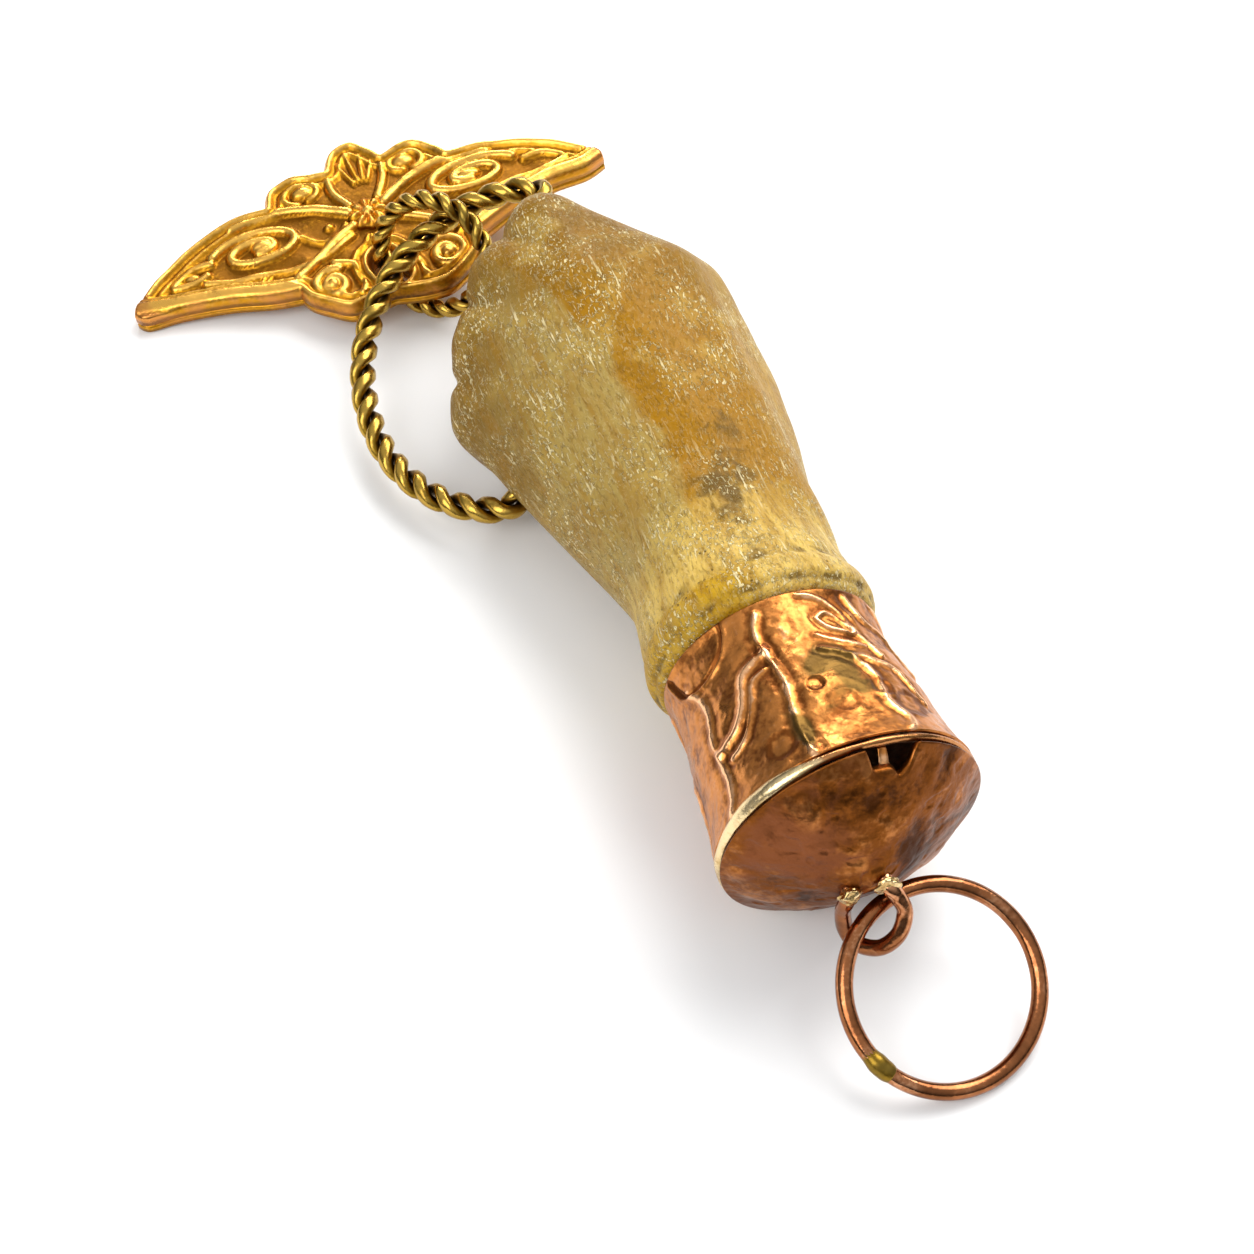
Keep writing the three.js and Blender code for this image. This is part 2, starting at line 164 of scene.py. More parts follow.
def tube(path, radius, around=16):
    """Rings round a path; radius is one number or one for each point of the path."""
    path = np.asarray(path, float)
    radius = np.broadcast_to(radius, len(path))
    tangents = np.gradient(path, axis=0)
    tangents /= np.linalg.norm(tangents, axis=1)[:, None]
    side = np.cross(tangents[0], [0.3, 0.2, 0.93])
    angle = np.linspace(0, 2 * math.pi, around, endpoint=False)[:, None]
    rings = []
    for centre, tangent, size in zip(path, tangents, radius):
        side = unit(side - tangent * (side @ tangent))
        other = np.cross(tangent, side)
        rings.append(centre + size * (np.cos(angle) * side + np.sin(angle) * other))
    return np.array(rings)


def spun(radii, lengths, around):
    """Rings about the cuff's axis: radii is (rings, around), lengths the distance from the wrist end."""
    angle = np.linspace(-math.pi, math.pi, around, endpoint=False)
    radii = np.broadcast_to(radii, (len(lengths), around))
    lengths = np.asarray(lengths, float)
    if lengths.ndim == 1:
        lengths = np.broadcast_to(lengths[:, None], radii.shape)
    return np.stack([
        CUFF[0] + radii * np.sin(angle), CUFF[1] - lengths, CUFF[2] + radii * np.cos(angle),
    ], -1)


# ---------------------------------------------------------------- materials


class Look:
    """A node material under construction. Its textures are sized in millimetres."""

    def __init__(self, name, **settings):
        self.material = bpy.data.materials.new(name)
        self.material.use_nodes = True
        self.nodes = self.material.node_tree.nodes
        self.links = self.material.node_tree.links
        self.shader = self.nodes["Principled BSDF"]
        self.place = self.nodes.new("ShaderNodeTexCoord").outputs["Object"]
        for socket, value in settings.items():
            self.shader.inputs[socket.replace("_", " ")].default_value = value

    def put(self, socket, value):
        if isinstance(value, bpy.types.NodeSocket):
            self.links.new(value, socket)
        else:
            socket.default_value = value

    def to_shader(self, name, value):
        self.put(self.shader.inputs[name], value)

    def noise(self, size, detail=3.0, stretch=(1, 1, 1), warp=0.0):
        mapping = self.nodes.new("ShaderNodeMapping")
        mapping.inputs["Scale"].default_value = [1 / (MM * size * s) for s in stretch]
        self.links.new(self.place, mapping.inputs["Vector"])
        texture = self.nodes.new("ShaderNodeTexNoise")
        texture.inputs["Scale"].default_value = 1.0
        texture.inputs["Detail"].default_value = detail
        texture.inputs["Distortion"].default_value = warp
        self.links.new(mapping.outputs["Vector"], texture.inputs["Vector"])
        return texture.outputs["Fac"]

    def cells(self, size, edges=False, warp=0.0):
        """Distance to the nearest cell's middle or, with edges, to the walls between cells."""
        mapping = self.nodes.new("ShaderNodeMapping")
        mapping.inputs["Scale"].default_value = [1 / (MM * size)] * 3
        self.links.new(self.place, mapping.inputs["Vector"])
        texture = self.nodes.new("ShaderNodeTexVoronoi")
        texture.feature = "DISTANCE_TO_EDGE" if edges else "F1"
        texture.inputs["Scale"].default_value = 1.0
        bent = self.nodes.new("ShaderNodeTexNoise")
        bent.inputs["Scale"].default_value = 1.3
        self.links.new(mapping.outputs["Vector"], bent.inputs["Vector"])
        shifted = self.nodes.new("ShaderNodeVectorMath")
        shifted.operation = "MULTIPLY_ADD"
        self.links.new(bent.outputs["Color"], shifted.inputs[0])
        shifted.inputs[1].default_value = [warp * 2] * 3
        self.links.new(mapping.outputs["Vector"], shifted.inputs[2])
        self.links.new(shifted.outputs["Vector"], texture.inputs["Vector"])
        return texture.outputs["Distance"]

    def mark(self, name):
        attribute = self.nodes.new("ShaderNodeAttribute")
        attribute.attribute_name = name
        return attribute.outputs["Fac"]

    def span(self, value, low, high, to_low=0.0, to_high=1.0):
        node = self.nodes.new("ShaderNodeMapRange")
        node.interpolation_type = "SMOOTHSTEP"
        self.put(node.inputs["Value"], value)
        for name, number in zip(("From Min", "From Max", "To Min", "To Max"), (low, high, to_low, to_high)):
            node.inputs[name].default_value = number
        return node.outputs["Result"]

    def mix(self, factor, a, b, blend="MIX"):
        node = self.nodes.new("ShaderNodeMix")
        node.data_type = "RGBA"
        node.blend_type = blend
        self.put(node.inputs["Factor"], factor)
        for socket, value in ((node.inputs[6], a), (node.inputs[7], b)):
            self.put(socket, value if isinstance(value, bpy.types.NodeSocket) else (*value, 1))
        return node.outputs[2]

    def sum(self, a, b, operation="ADD"):
        node = self.nodes.new("ShaderNodeMath")
        node.operation = operation
        self.put(node.inputs[0], a)
        self.put(node.inputs[1], b)
        return node.outputs[0]

    def bump(self, *heights):
        """Bump from (height, depth in millimetres) pairs."""
        normal = None
        for height, depth in heights:
            node = self.nodes.new("ShaderNodeBump")
            node.inputs["Distance"].default_value = depth * MM
            self.links.new(height, node.inputs["Height"])
            if normal:
                self.links.new(normal, node.inputs["Normal"])
            normal = node.outputs["Normal"]
        self.links.new(normal, self.shader.inputs["Normal"])


def horn_tones(look, clouds):
    """The broad colours, laid down by the mesh's marks and clouded."""
    side = look.span(look.sum(look.mark("left"), look.sum(clouds, -0.5)), 0.3, 0.75)
    colour = look.mix(side, (0.335, 0.155, 0.002), (0.38, 0.262, 0.068))
    # darker brown over the fingers, along the outer edge and towards the underside
    colour = look.mix(look.mark("dark_fingers_edge_underside"), colour, (0.175, 0.088, 0.004))
    colour = look.mix(look.mark("wrist"), colour, (0.66, 0.45, 0.105))
    colour = look.mix(look.mark("collar"), colour, (0.50, 0.29, 0.012))
    streaks = look.noise(0.9, 4, stretch=(0.5, 5, 0.5), warp=0.3)
    colour = look.mix(look.span(streaks, 0.35, 0.7, 0.0, 0.6), colour, (0.29, 0.135, 0.004))
    return look.mix(look.span(clouds, 0.45, 0.75, 0.0, 0.4), colour, (0.56, 0.38, 0.085))


def horn_nicks_and_glints(look):
    """Bright nicks: short curved cracks, fine specks and a few long scratches, thicker in some places. Their
    pale colour is partly real and partly painted sparkle highlight.
    """
    cracks = look.span(look.cells(0.42, edges=True, warp=0.5), 0.0, 0.05, 1.0, 0.0)
    broken = look.span(look.noise(0.35, 2), 0.48, 0.56)
    cracks = look.sum(cracks, broken, "MULTIPLY")
    specks = look.span(look.noise(0.12, 2, stretch=(1, 2.5, 1), warp=0.5), 0.585, 0.64)
    scratches = look.span(look.noise(0.22, 3, stretch=(1, 14, 1), warp=0.3), 0.63, 0.68)
    where = look.span(look.noise(2.6, 3), 0.38, 0.62, 0.12, 1.0)
    return look.sum(look.sum(look.sum(cracks, specks, "MAXIMUM"), scratches, "MAXIMUM"), where, "MULTIPLY")


def horn_look():
    """Translucent horn: clouded tones, stained, pitted near the cuff, grained, nicked and scratched, with
    painted sparkle highlights on the nicks.
    """
    look = Look("horn", Specular_IOR_Level=0.14, Subsurface_Weight=0.05, Subsurface_Scale=0.0008)
    look.shader.inputs["Subsurface Radius"].default_value = (1.0, 0.6, 0.25)
    clouds = look.noise(2.6, 5, warp=0.6)
    colour = horn_tones(look, clouds)
    blots = look.sum(look.sum(look.noise(0.9, 5, warp=0.8), -0.5), 2.2, "MULTIPLY")
    stain = look.span(look.sum(look.mark("stain"), blots), 0.15, 1.0, 0.0, 0.9)
    colour = look.mix(stain, colour, (0.11, 0.058, 0.004))
    pores = look.span(look.cells(0.42), 0.0, 0.22, 1.0, 0.0)
    patches = look.span(look.noise(1.6, 2), 0.46, 0.56)
    near_wrist = look.span(look.mark("wrist"), 0, 1, 0.25, 1)
    pitted = look.sum(look.sum(pores, patches, "MULTIPLY"), near_wrist, "MULTIPLY")
    colour = look.mix(look.sum(pitted, 0.85, "MULTIPLY"), colour, (0.10, 0.06, 0.012))
    grain = look.span(look.noise(0.16, 4, stretch=(1, 3.5, 1), warp=0.4), 0.34, 0.48, 0.42, 0.0)
    colour = look.mix(grain, colour, (0.17, 0.085, 0.004))
    nicks_and_glints = horn_nicks_and_glints(look)
    # pale nicks and scratches: partly real colour, partly painted sparkle highlight
    colour = look.mix(look.sum(nicks_and_glints, 0.92, "MULTIPLY"), colour, (0.80, 0.67, 0.36))
    look.to_shader("Base Color", colour)
    look.to_shader("Roughness", look.span(nicks_and_glints, 0.0, 1.0, 0.42, 0.3))
    pits = look.sum(pitted, -1, "MULTIPLY")
    look.bump((grain, -0.05), (look.noise(0.6, 4), 0.12), (nicks_and_glints, 0.07), (pits, 0.08))
    return look.material


def metal_look(name, deep, middle, high, tint, roughness, dent=0.05):
    """Polished worn metal: dark in its hollows, bright on its high spots, with a tint in patches."""
    look = Look(name, Metallic=1.0)
    blotches = look.noise(1.6, 4, warp=0.6)
    grain = look.noise(0.25, 4)
    worn = look.sum(look.mark("high"), look.span(grain, 0.2, 0.8, -0.15, 0.15))
    colour = look.mix(look.span(worn, 0.1, 0.5), deep, middle)
    colour = look.mix(look.span(worn, 0.55, 0.95), colour, high)
    tinted = look.sum(look.mark("tint"), look.span(blotches, 0.3, 0.7, -0.25, 0.25))
    colour = look.mix(look.span(tinted, 0.3, 0.8), colour, tint)
    colour = look.mix(look.span(look.noise(0.7, 5), 0.6, 0.75, 0.0, 0.5), colour, deep)
    look.to_shader("Base Color", colour)
    low, top = roughness
    dull = look.sum(blotches, look.sum(worn, -0.4, "MULTIPLY"))
    look.to_shader("Roughness", look.span(dull, -0.1, 0.6, low, top))
    look.bump((look.noise(0.9, 3, warp=0.4), dent), (grain, 0.012))
    return look.material


def plain_look(name, colour, other, metallic, roughness):
    """For what hardly shows: two mottled tones."""
    look = Look(name, Metallic=metallic, Roughness=roughness)
    look.to_shader("Base Color", look.mix(look.span(look.noise(0.6, 4), 0.35, 0.65), colour, other))
    look.bump((look.noise(0.4, 3), 0.03))
    return look.material


HORN = horn_look()
COPPER = metal_look("copper", (0.20, 0.06, 0.012), (0.56, 0.21, 0.050), (0.92, 0.50, 0.25),
                    (0.14, 0.075, 0.018), (0.2, 0.42), dent=0.07)
CAP_COPPER = metal_look("cap_copper", (0.075, 0.022, 0.004), (0.21, 0.062, 0.009), (0.46, 0.17, 0.045),
                        (0.22, 0.07, 0.024), (0.3, 0.48), dent=0.09)
PALE_GOLD = metal_look("pale_gold", (0.28, 0.15, 0.04), (0.60, 0.40, 0.16), (0.86, 0.66, 0.36),
                       (0.50, 0.21, 0.07), (0.2, 0.36))
ROSE_GOLD = metal_look("rose_gold", (0.13, 0.04, 0.014), (0.38, 0.14, 0.052), (0.76, 0.38, 0.20),
                       (0.22, 0.08, 0.03), (0.1, 0.25), dent=0.02)
BRASS = metal_look("aged_brass", (0.09, 0.045, 0.004), (0.27, 0.155, 0.016), (0.50, 0.31, 0.055),
                   (0.23, 0.15, 0.028), (0.24, 0.40), dent=0.04)
GILT = metal_look("gilt", (0.22, 0.085, 0.006), (0.55, 0.245, 0.014), (0.84, 0.46, 0.085),
                  (0.62, 0.26, 0.06), (0.26, 0.46), dent=0.05)
PITCH = plain_look("pitch", (0.10, 0.045, 0.018), (0.22, 0.10, 0.04), 0.0, 0.6)
SOLDERED_BRASS = plain_look("hidden_brass", (0.30, 0.24, 0.10), (0.45, 0.36, 0.16), 1.0, 0.35)

# ---------------------------------------------------------------- the carved hand

CELL = 0.2  # spacing of the hand's skin
SOFTENING = 30  # rounds of smoothing over the hand's facets
GRIP_START = np.array([1.1, 3.2, 2.6])
GRIP_ALONG = unit([0.39, 0.9, 0.22])
KNUCKLES = [(4.3, 4.2, 6.6), (6.0, 7.0, 8.4), (8.1, 9.3, 9.8), (11.0, 8.8, 9.6)]
KNUCKLE_RADIUS, BEND_RADIUS = 3.35, 1.95
FINGER_BENDS = [(0.9, 8.1, 4.6), (2.2, 11.4, 6.6), (4.2, 14.2, 8.3), (7.2, 16.1, 9.6)]
# Fleshy parts that the hand's skin is also stretched over: balls of (x, y, z, radius).
THUMB_SIDE = [
    (10.4, -6.0, 6.4, 4.1), (11.6, -1.0, 6.4, 3.9), (12.5, 3.4, 6.2, 3.6), (12.6, 7.2, 5.8, 3.4),
    (12.2, 9.0, 8.3, 3.2), (10.6, 9.8, 9.4, 3.2),
]
OUTER_EDGE = [(8.0, -7.5, 5.9, 4.1), (5.3, 4.5, 4.4, 3.4), (4.3, 4.2, 6.6, 3.4), (1.2, 7.6, 4.7, 1.9)]
# The ridge between the two flats of the back of the hand: (Y, X).
RIDGE = [(-13.0, 6.0), (-5.7, 7.4), (-1.4, 7.7), (5.9, 6.1), (15.6, 3.7)]
COLLAR_GROOVE_Y, COLLAR_EDGE_Y = -12.95, -11.1


def stretched(work, balls):
    """Adds to a bmesh the convex skin over balls, each (x, y, z, radius)."""
    ball_work = bmesh.new()
    bmesh.ops.create_icosphere(ball_work, subdivisions=3, radius=1.0)
    unit_ball = [vertex.co.copy() for vertex in ball_work.verts]
    ball_work.free()
    for x, y, z, radius in balls:
        for point in unit_ball:
            work.verts.new(point * radius + Vector((x, y, z)))
    result = bmesh.ops.convex_hull(work, input=list(work.verts))
    loose = {item for item in result["geom_interior"] if isinstance(item, bmesh.types.BMVert)}
    bmesh.ops.delete(work, geom=list(loose), context="VERTS")


def hand_base():
    """The CAD hand with its finger valleys half filled and its thumb side rounded, as one even skin."""
    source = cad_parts["carved_hand"].data
    work = bmesh.new()
    work.from_mesh(source)
    for vertex in work.verts:
        vertex.co /= MM
    for i in range(3):
        roots = [(*point, KNUCKLE_RADIUS) for point in KNUCKLES[i:i + 2]]
        add_stretched(work, roots + [(*point, BEND_RADIUS) for point in FINGER_BENDS[i:i + 2]])
    add_stretched(work, THUMB_SIDE)
    add_stretched(work, OUTER_EDGE)
    mesh = bpy.data.meshes.new("hand_base")
    work.to_mesh(mesh)
    work.free()
    base = bpy.data.objects.new("hand_base", mesh)
    bpy.context.scene.collection.objects.link(base)
    remesh = base.modifiers.new("skin", "REMESH")
    remesh.mode = "VOXEL"
    remesh.voxel_size = CELL
    evaluated = base.evaluated_get(bpy.context.evaluated_depsgraph_get()).to_mesh()
    vertices = np.array([vertex.co[:] for vertex in evaluated.vertices])
    faces = [tuple(face.vertices) for face in evaluated.polygons]
    bpy.data.objects.remove(base)
    return vertices, faces


def add_stretched(work, balls):
    """Adds the convex skin over balls, given in design coordinates, to a bmesh in the row frame."""
    shell = bmesh.new()
    stretched(shell, [(*(np.array(ball[:3]) + SHIFT), ball[3]) for ball in balls])
    mesh = bpy.data.meshes.new("shell")
    shell.to_mesh(mesh)
    shell.free()
    work.from_mesh(mesh)
    bpy.data.meshes.remove(mesh)


def softened(vertices, faces, rounds):
    """Each point moves towards the middle of its neighbours, a few times over. Also gives the normals."""
    quads = np.array([face if len(face) == 4 else (*face, face[-1]) for face in faces])
    sides = np.concatenate([quads[:, [i, (i + 1) % 4]] for i in range(4)])
    sides = sides[sides[:, 0] != sides[:, 1]]
    count = len(vertices)
    meeting = np.bincount(sides[:, 0], minlength=count) + np.bincount(sides[:, 1], minlength=count)
    for _ in range(rounds):
        middle = np.stack([
            np.bincount(sides[:, 0], vertices[sides[:, 1], i], count)
            + np.bincount(sides[:, 1], vertices[sides[:, 0], i], count) for i in range(3)
        ], -1) / meeting[:, None]
        vertices = vertices + 0.6 * (middle - vertices)
    corners = vertices[quads]
    facing = np.cross(corners[:, 2] - corners[:, 0], corners[:, 3] - corners[:, 1])
    normals = np.stack([
        sum(np.bincount(quads[:, k], facing[:, i], count) for k in range(4)) for i in range(3)
    ], -1)
    return vertices, normals / np.linalg.norm(normals, axis=1)[:, None]


def finger_valleys(at):
    """How deep in a valley between two fingers each point lies: deepest over the fingers' bends."""
    deepest = np.zeros(len(at))
    for i in range(3):
        root = np.add(KNUCKLES[i], KNUCKLES[i + 1]) / 2
        bend = np.add(FINGER_BENDS[i], FINGER_BENDS[i + 1]) / 2
        apart = unit(np.subtract(FINGER_BENDS[i + 1], FINGER_BENDS[i]))
        finger = bend - root
        reach = (at - root) @ finger / (finger @ finger)
        aside = (at - bend) @ apart + 0.15 * noise(at, 1.2, 14)
        valley = hump(aside, 0, 0.5) * step(0.45, 1.3, reach)
        deepest = np.maximum(deepest, valley)
    return deepest


def carved_hand():
    vertices, faces = hand_base()
    vertices, normals = softened(vertices, faces, SOFTENING)
    design = vertices - SHIFT
    y = design[:, 1]
    groove = hump(y, COLLAR_GROOVE_Y, 0.22)
    groove = groove + 0.6 * hump(y, COLLAR_EDGE_Y, 0.3)
    depth = 0.05 * noise(design, 2.4, 11) + 0.02 * noise(design, 0.9, 12) - 0.17 * groove
    depth = depth - 0.34 * finger_valleys(design)
    vertices = vertices + normals * np.where(y > -13.4, depth, 0)[:, None]
    x, y, z = design.T
    ridge = np.interp(y, *zip(*RIDGE))
    wander = noise(design, 2.2, 21)
    marks = {
        "left": step(-0.8, 0.8, ridge - x + 0.5 * wander),
        # darker brown over the fingers, along the outer edge and towards the underside
        "dark_fingers_edge_underside": 0.85 * step(8.0, 15.5, y + 0.3 * x + 2.0 * wander) * step(3.5, 8.0, z)
                   + 0.85 * step(3.6, 0.2, x + 0.9 * wander) + 0.7 * step(0.8, -1.8, z - 4 + 0.8 * wander),
        "wrist": step(-5.5, -9.5, y + 1.8 * wander) * 0.95 + 0.35 * step(12.0, 15.0, x + 0.6 * wander),
        "stain": 0.85 * hump(x, 9.3, 1.6) * hump(y, -5.7, 1.4)
                 + 0.6 * hump(x, 8.9, 0.8) * hump(y, -8.2, 2.2)
                 + 0.6 * hump(x, 10.3, 0.9) * hump(y, -2.6, 2.0)
                 + 0.8 * groove * step(-0.5, 0.5, noise(design, 0.8, 22)),
        "collar": step(-10.9, -11.5, y) * step(9.5, 7.0, x + 0.6 * wander),
    }
    make("hand_skin", vertices, faces, "hand", HORN, ["carved_hand"], marks)


carved_hand()

# ---------------------------------------------------------------- the cuff and its cap

CUFF_LENGTH = 9.4
FLARE_START = 1.3
SHEET = 0.35
AROUND = 420
UNROLLED = 5.9  # radius at which the cuff's skin is laid flat
# Raised lines on the cuff: height, half width, then (degrees round from the top, mm from the wrist end).
VEINS = [
    (0.13, 0.24, [(-17, 2.6), (-26, 2.9), (-33, 3.4), (-38, 4.9), (-46, 5.7), (-58, 6.1)]),
    (0.09, 0.16, [(-21, 3.6), (-29, 3.9), (-33, 5.0), (-42, 6.4), (-52, 6.8)]),
    (0.12, 0.20, [(-14, 0.6), (-18, 1.6), (-17, 3.0), (-15, 4.9), (-18, 7.2), (-17, 9.4)]),
    (0.11, 0.22, [(-68, 1.6), (-60, 2.6), (-57, 3.7), (-60, 5.4), (-58, 7.8), (-62, 9.4)]),
    (0.11, 0.18, [(8, 3.6), (15, 3.9), (21, 4.2), (32, 4.6), (44, 5.3), (50, 7.2)]),
    (0.10, 0.18, [(20, 4.3), (27, 5.7), (25, 7.3), (30, 8.5), (26, 9.4)]),
    (0.13, 0.18, [(10, 0.2), (18, 0.5), (24, 0.9), (30, 1.7), (34, 3.0), (40, 4.2)]),
    (0.12, 0.14, [(14, 1.7), (18, 2.3), (25, 2.6), (31, 2.7), (27, 1.9), (20, 1.4), (14, 1.7)]),
    (0.09, 0.14, [(10, 2.7), (17, 3.1), (25, 3.4), (33, 3.6)]),
    (0.10, 0.18, [(38, 0.4), (46, 1.7), (58, 2.3), (66, 4.6)]),
    (0.09, 0.20, [(62, 0.3), (80, 1.5), (84, 3.8), (100, 5.4), (104, 9.0)]),
    (0.10, 0.22, [(130, 0.6), (120, 2.6), (136, 5.0), (128, 8.8)]),
    (0.09, 0.20, [(176, 1.0), (160, 3.2), (168, 6.2), (150, 8.6)]),
    (0.10, 0.20, [(-150, 0.8), (-160, 3.4), (-140, 5.4), (-146, 8.8)]),
    (0.10, 0.20, [(-100, 1.0), (-112, 3.4), (-96, 5.8), (-104, 9.0)]),
]
# The half-round end of the cuff's seam, as a closed line in the same measures.
LAP = [(-32, -0.8), (-33, 0.4), (-38, 1.3), (-48, 1.9), (-60, 1.95), (-72, 1.4), (-80, -0.8)]
# Round dents: degrees round, mm from the wrist end, radius, depth.
DENTS = [
    (-3, 5.5, 0.42, 0.10), (6, 6.9, 0.6, 0.05), (-28, 7.9, 0.7, 0.06), (38, 7.4, 0.8, 0.06),
    (27, 6.4, 0.5, 0.06),
]


def flat(line):
    """A line on the cuff, laid flat in millimetres."""
    return spline([(math.radians(degrees) * UNROLLED, along) for degrees, along in line], 6)


def inside_of(line, x, y):
    """Which points lie inside a closed flat line."""
    result = np.zeros(x.shape, bool)
    for (x0, y0), (x1, y1) in zip(line, np.roll(line, -1, axis=0)):
        if y0 == y1:
            continue
        crosses = ((y0 > y) != (y1 > y)) & (x < (x1 - x0) * (y - y0) / (y1 - y0) + x0)
        result ^= crosses
    return result


def cuff_radius(distance):
    flare = np.maximum(0, distance - FLARE_START) / (CUFF_LENGTH - FLARE_START)
    return 5.6 + 0.08 * np.cos(distance + FLARE_START) + 1.06 * flare ** 1.8


def cuff_relief(angle, distance):
    """Height of the cuff's crinkled skin over its plain shape, with its high and tarnished marks."""
    u = angle * UNROLLED
    skin_at = np.stack([6 * np.sin(angle), distance, 6 * np.cos(angle)], -1)
    creases = 1 - np.abs(rough(skin_at, 1.5, 31, 3))
    height = 0.06 * (creases - 0.6) + 0.05 * noise(skin_at, 3.4, 35) + 0.02 * rough(skin_at, 0.5, 38, 2)
    patch = hump(u, -0.5, 0.9) * hump(distance, 1.9, 1.0)
    height = height + 0.09 * patch * noise(skin_at, 0.42, 36)
    high = 0.45 + 0.35 * (creases - 0.7) + 0.25 * patch
    for tall, half, line in VEINS:
        away = distance_to(flat(line), u, distance)
        shape = hump(away, 0, half) - 0.35 * hump(away, 2 * half, half)
        height = height + tall * shape
        high = high + 0.55 * shape
    lap_line = flat(LAP)
    away = distance_to(lap_line, u, distance)
    in_lap = inside_of(lap_line, u, distance)
    height = height - np.where(in_lap, 0.10 + 0.08 * noise(skin_at, 0.7, 37), 0)
    slit = hump(away, 0, 0.10)
    height = height - 0.22 * slit + 0.10 * hump(away, 0.22, 0.14) * ~in_lap
    high = high - 1.2 * slit
    for degrees, along, size, deep in DENTS:
        away = np.hypot(u - math.radians(degrees) * UNROLLED, distance - along) / size
        height = height - deep * np.exp(-away ** 4) + deep * 0.5 * hump(away, 1.15, 0.2)
        high = high - 0.4 * hump(away, 0.9, 0.25)
    tarnish = hump(u, 0.9, 1.2) * hump(distance, 4.4, 1.1)
    tarnish = tarnish + 0.8 * hump(u, -1.7, 0.45) * hump(distance, 8.0, 1.2)
    tarnish = tarnish + 0.55 * hump(u, 0.8, 2.2) * hump(distance, 6.4, 0.9)
    ends = step(0, 0.35, distance) * step(0, 0.35, CUFF_LENGTH - distance)
    return height * ends, high, 0.15 + tarnish


def cuff_sleeve():
    distance = np.linspace(0, CUFF_LENGTH, 170)
    angle = np.linspace(-math.pi, math.pi, AROUND, endpoint=False)
    grid_distance, grid_angle = np.meshgrid(distance, angle, indexing="ij")
    height, high, tarnish = cuff_relief(grid_angle, grid_distance)
    outer = cuff_radius(grid_distance) + np.maximum(height, -0.2)
    inner_distance = np.linspace(CUFF_LENGTH, 0, 5)
    inner = np.broadcast_to((cuff_radius(inner_distance) - SHEET)[:, None], (5, AROUND))
    rings = spun(np.vstack([outer, inner]), np.concatenate([distance, inner_distance]), AROUND)
    pad = np.full((5, AROUND), 0.3)
    make_rings("cuff_skin", rings, "hand", COPPER, ["cuff_sleeve"], np.vstack([high, pad]),
               np.vstack([tarnish, pad]), closed=True)


def rim_band():
    """Binding strip round the rim: pale and wide on the left, thin and copper-coloured on the right."""
    angle = np.linspace(-math.pi, math.pi, AROUND, endpoint=False)
    turn = np.linspace(0, 2 * math.pi, 14, endpoint=False)
    circle = np.stack([6 * np.sin(angle), 6 * np.cos(angle), 0 * angle], -1)
    narrow = step(-0.55, -0.2, angle) * step(2.6, 2.2, angle)
    swell = 0.07 * hump(angle, -0.85, 0.5) - 0.07 * narrow + 0.03 * noise(circle, 1.2, 41)
    outer = cuff_radius(CUFF_LENGTH)
    middle = CUFF_LENGTH + 0.32 - 0.12 * hump(angle, -0.85, 0.5)
    radius = outer - 0.22 + (0.31 + swell) * np.cos(turn)[:, None]
    along = middle + (0.30 + 1.8 * swell) * np.sin(turn)[:, None]
    rings = spun(radius, along, AROUND)
    high = 0.5 + 0.4 * np.cos(turn)[:, None] + 0.2 * noise(rings, 0.8, 42)
    tint = 0.1 + 0.75 * narrow + 0.3 * noise(rings, 2.0, 43)
    make_rings("rim_band_skin", rings, "hand", PALE_GOLD, ["rim_band"], high, tint, closed=True)


CAP_START = CUFF_LENGTH + 0.65
CAP_RADIUS = float(cuff_radius(CUFF_LENGTH))
CAP_PROFILE = [(0, 3.4), (0.9, 3.25), (2.4, 2.6), (3.9, 1.9), (5.0, 1.25), (6.1, 0.45), (CAP_RADIUS, 0.1)]
NOTCH_ANGLE = math.radians(13)


def cap_height(radius):
    curve = spline(CAP_PROFILE, 8)
    return np.interp(radius, curve[:, 0], curve[:, 1])


def end_cap():
    """A hammered shallow cone, torn away at the top of its rim."""
    angle = np.linspace(-math.pi, math.pi, AROUND, endpoint=False)
    torn = 0.95 * step(0.20, 0.14, np.abs(angle - NOTCH_ANGLE + 0.03 * np.sin(9 * angle)))
    torn = torn + 0.35 * hump(angle, NOTCH_ANGLE + 0.08, 0.05)
    edge = CAP_RADIUS - torn
    share = np.linspace(0.02, 1, 90)[:, None]
    radius = edge * share
    at = np.stack([radius * np.sin(angle), radius * np.cos(angle), 0 * radius], -1)
    dents = rough(at, 1.5, 51, 3)
    pits = noise(at, 0.6, 55)
    lumps = hump(radius, 5.3, 0.8) * hump(angle, 0.75, 0.4)
    height = 0.09 * dents - 0.06 * step(0.35, 0.7, pits) + 0.10 * lumps * noise(at, 0.9, 56)
    height = height * step(0, 0.5, edge - radius) - 0.14 * step(5.2, 3.8, radius)
    outside = CAP_START + cap_height(radius) + height
    inside_share = np.linspace(1, 0.02, 8)[:, None]
    inner_radius = edge * inside_share
    inside = CAP_START + cap_height(inner_radius) - 0.35 * step(0, 0.4, CAP_RADIUS + 0.1 - inner_radius)
    rings = spun(np.vstack([radius, inner_radius]), np.vstack([outside, inside]), AROUND)
    pad = np.full((8, AROUND), 0.2)
    pink = 0.9 * hump(angle, -0.95, 0.6) * hump(radius, 4.2, 2.2)
    high = np.vstack([0.45 + 0.35 * dents + 0.1 * pits, pad])
    tint = np.vstack([0.15 + pink + 0.15 * noise(at, 2.0, 57), pad])
    make_rings("end_cap_skin", rings, "hand", CAP_COPPER, ["end_cap"], high, tint)


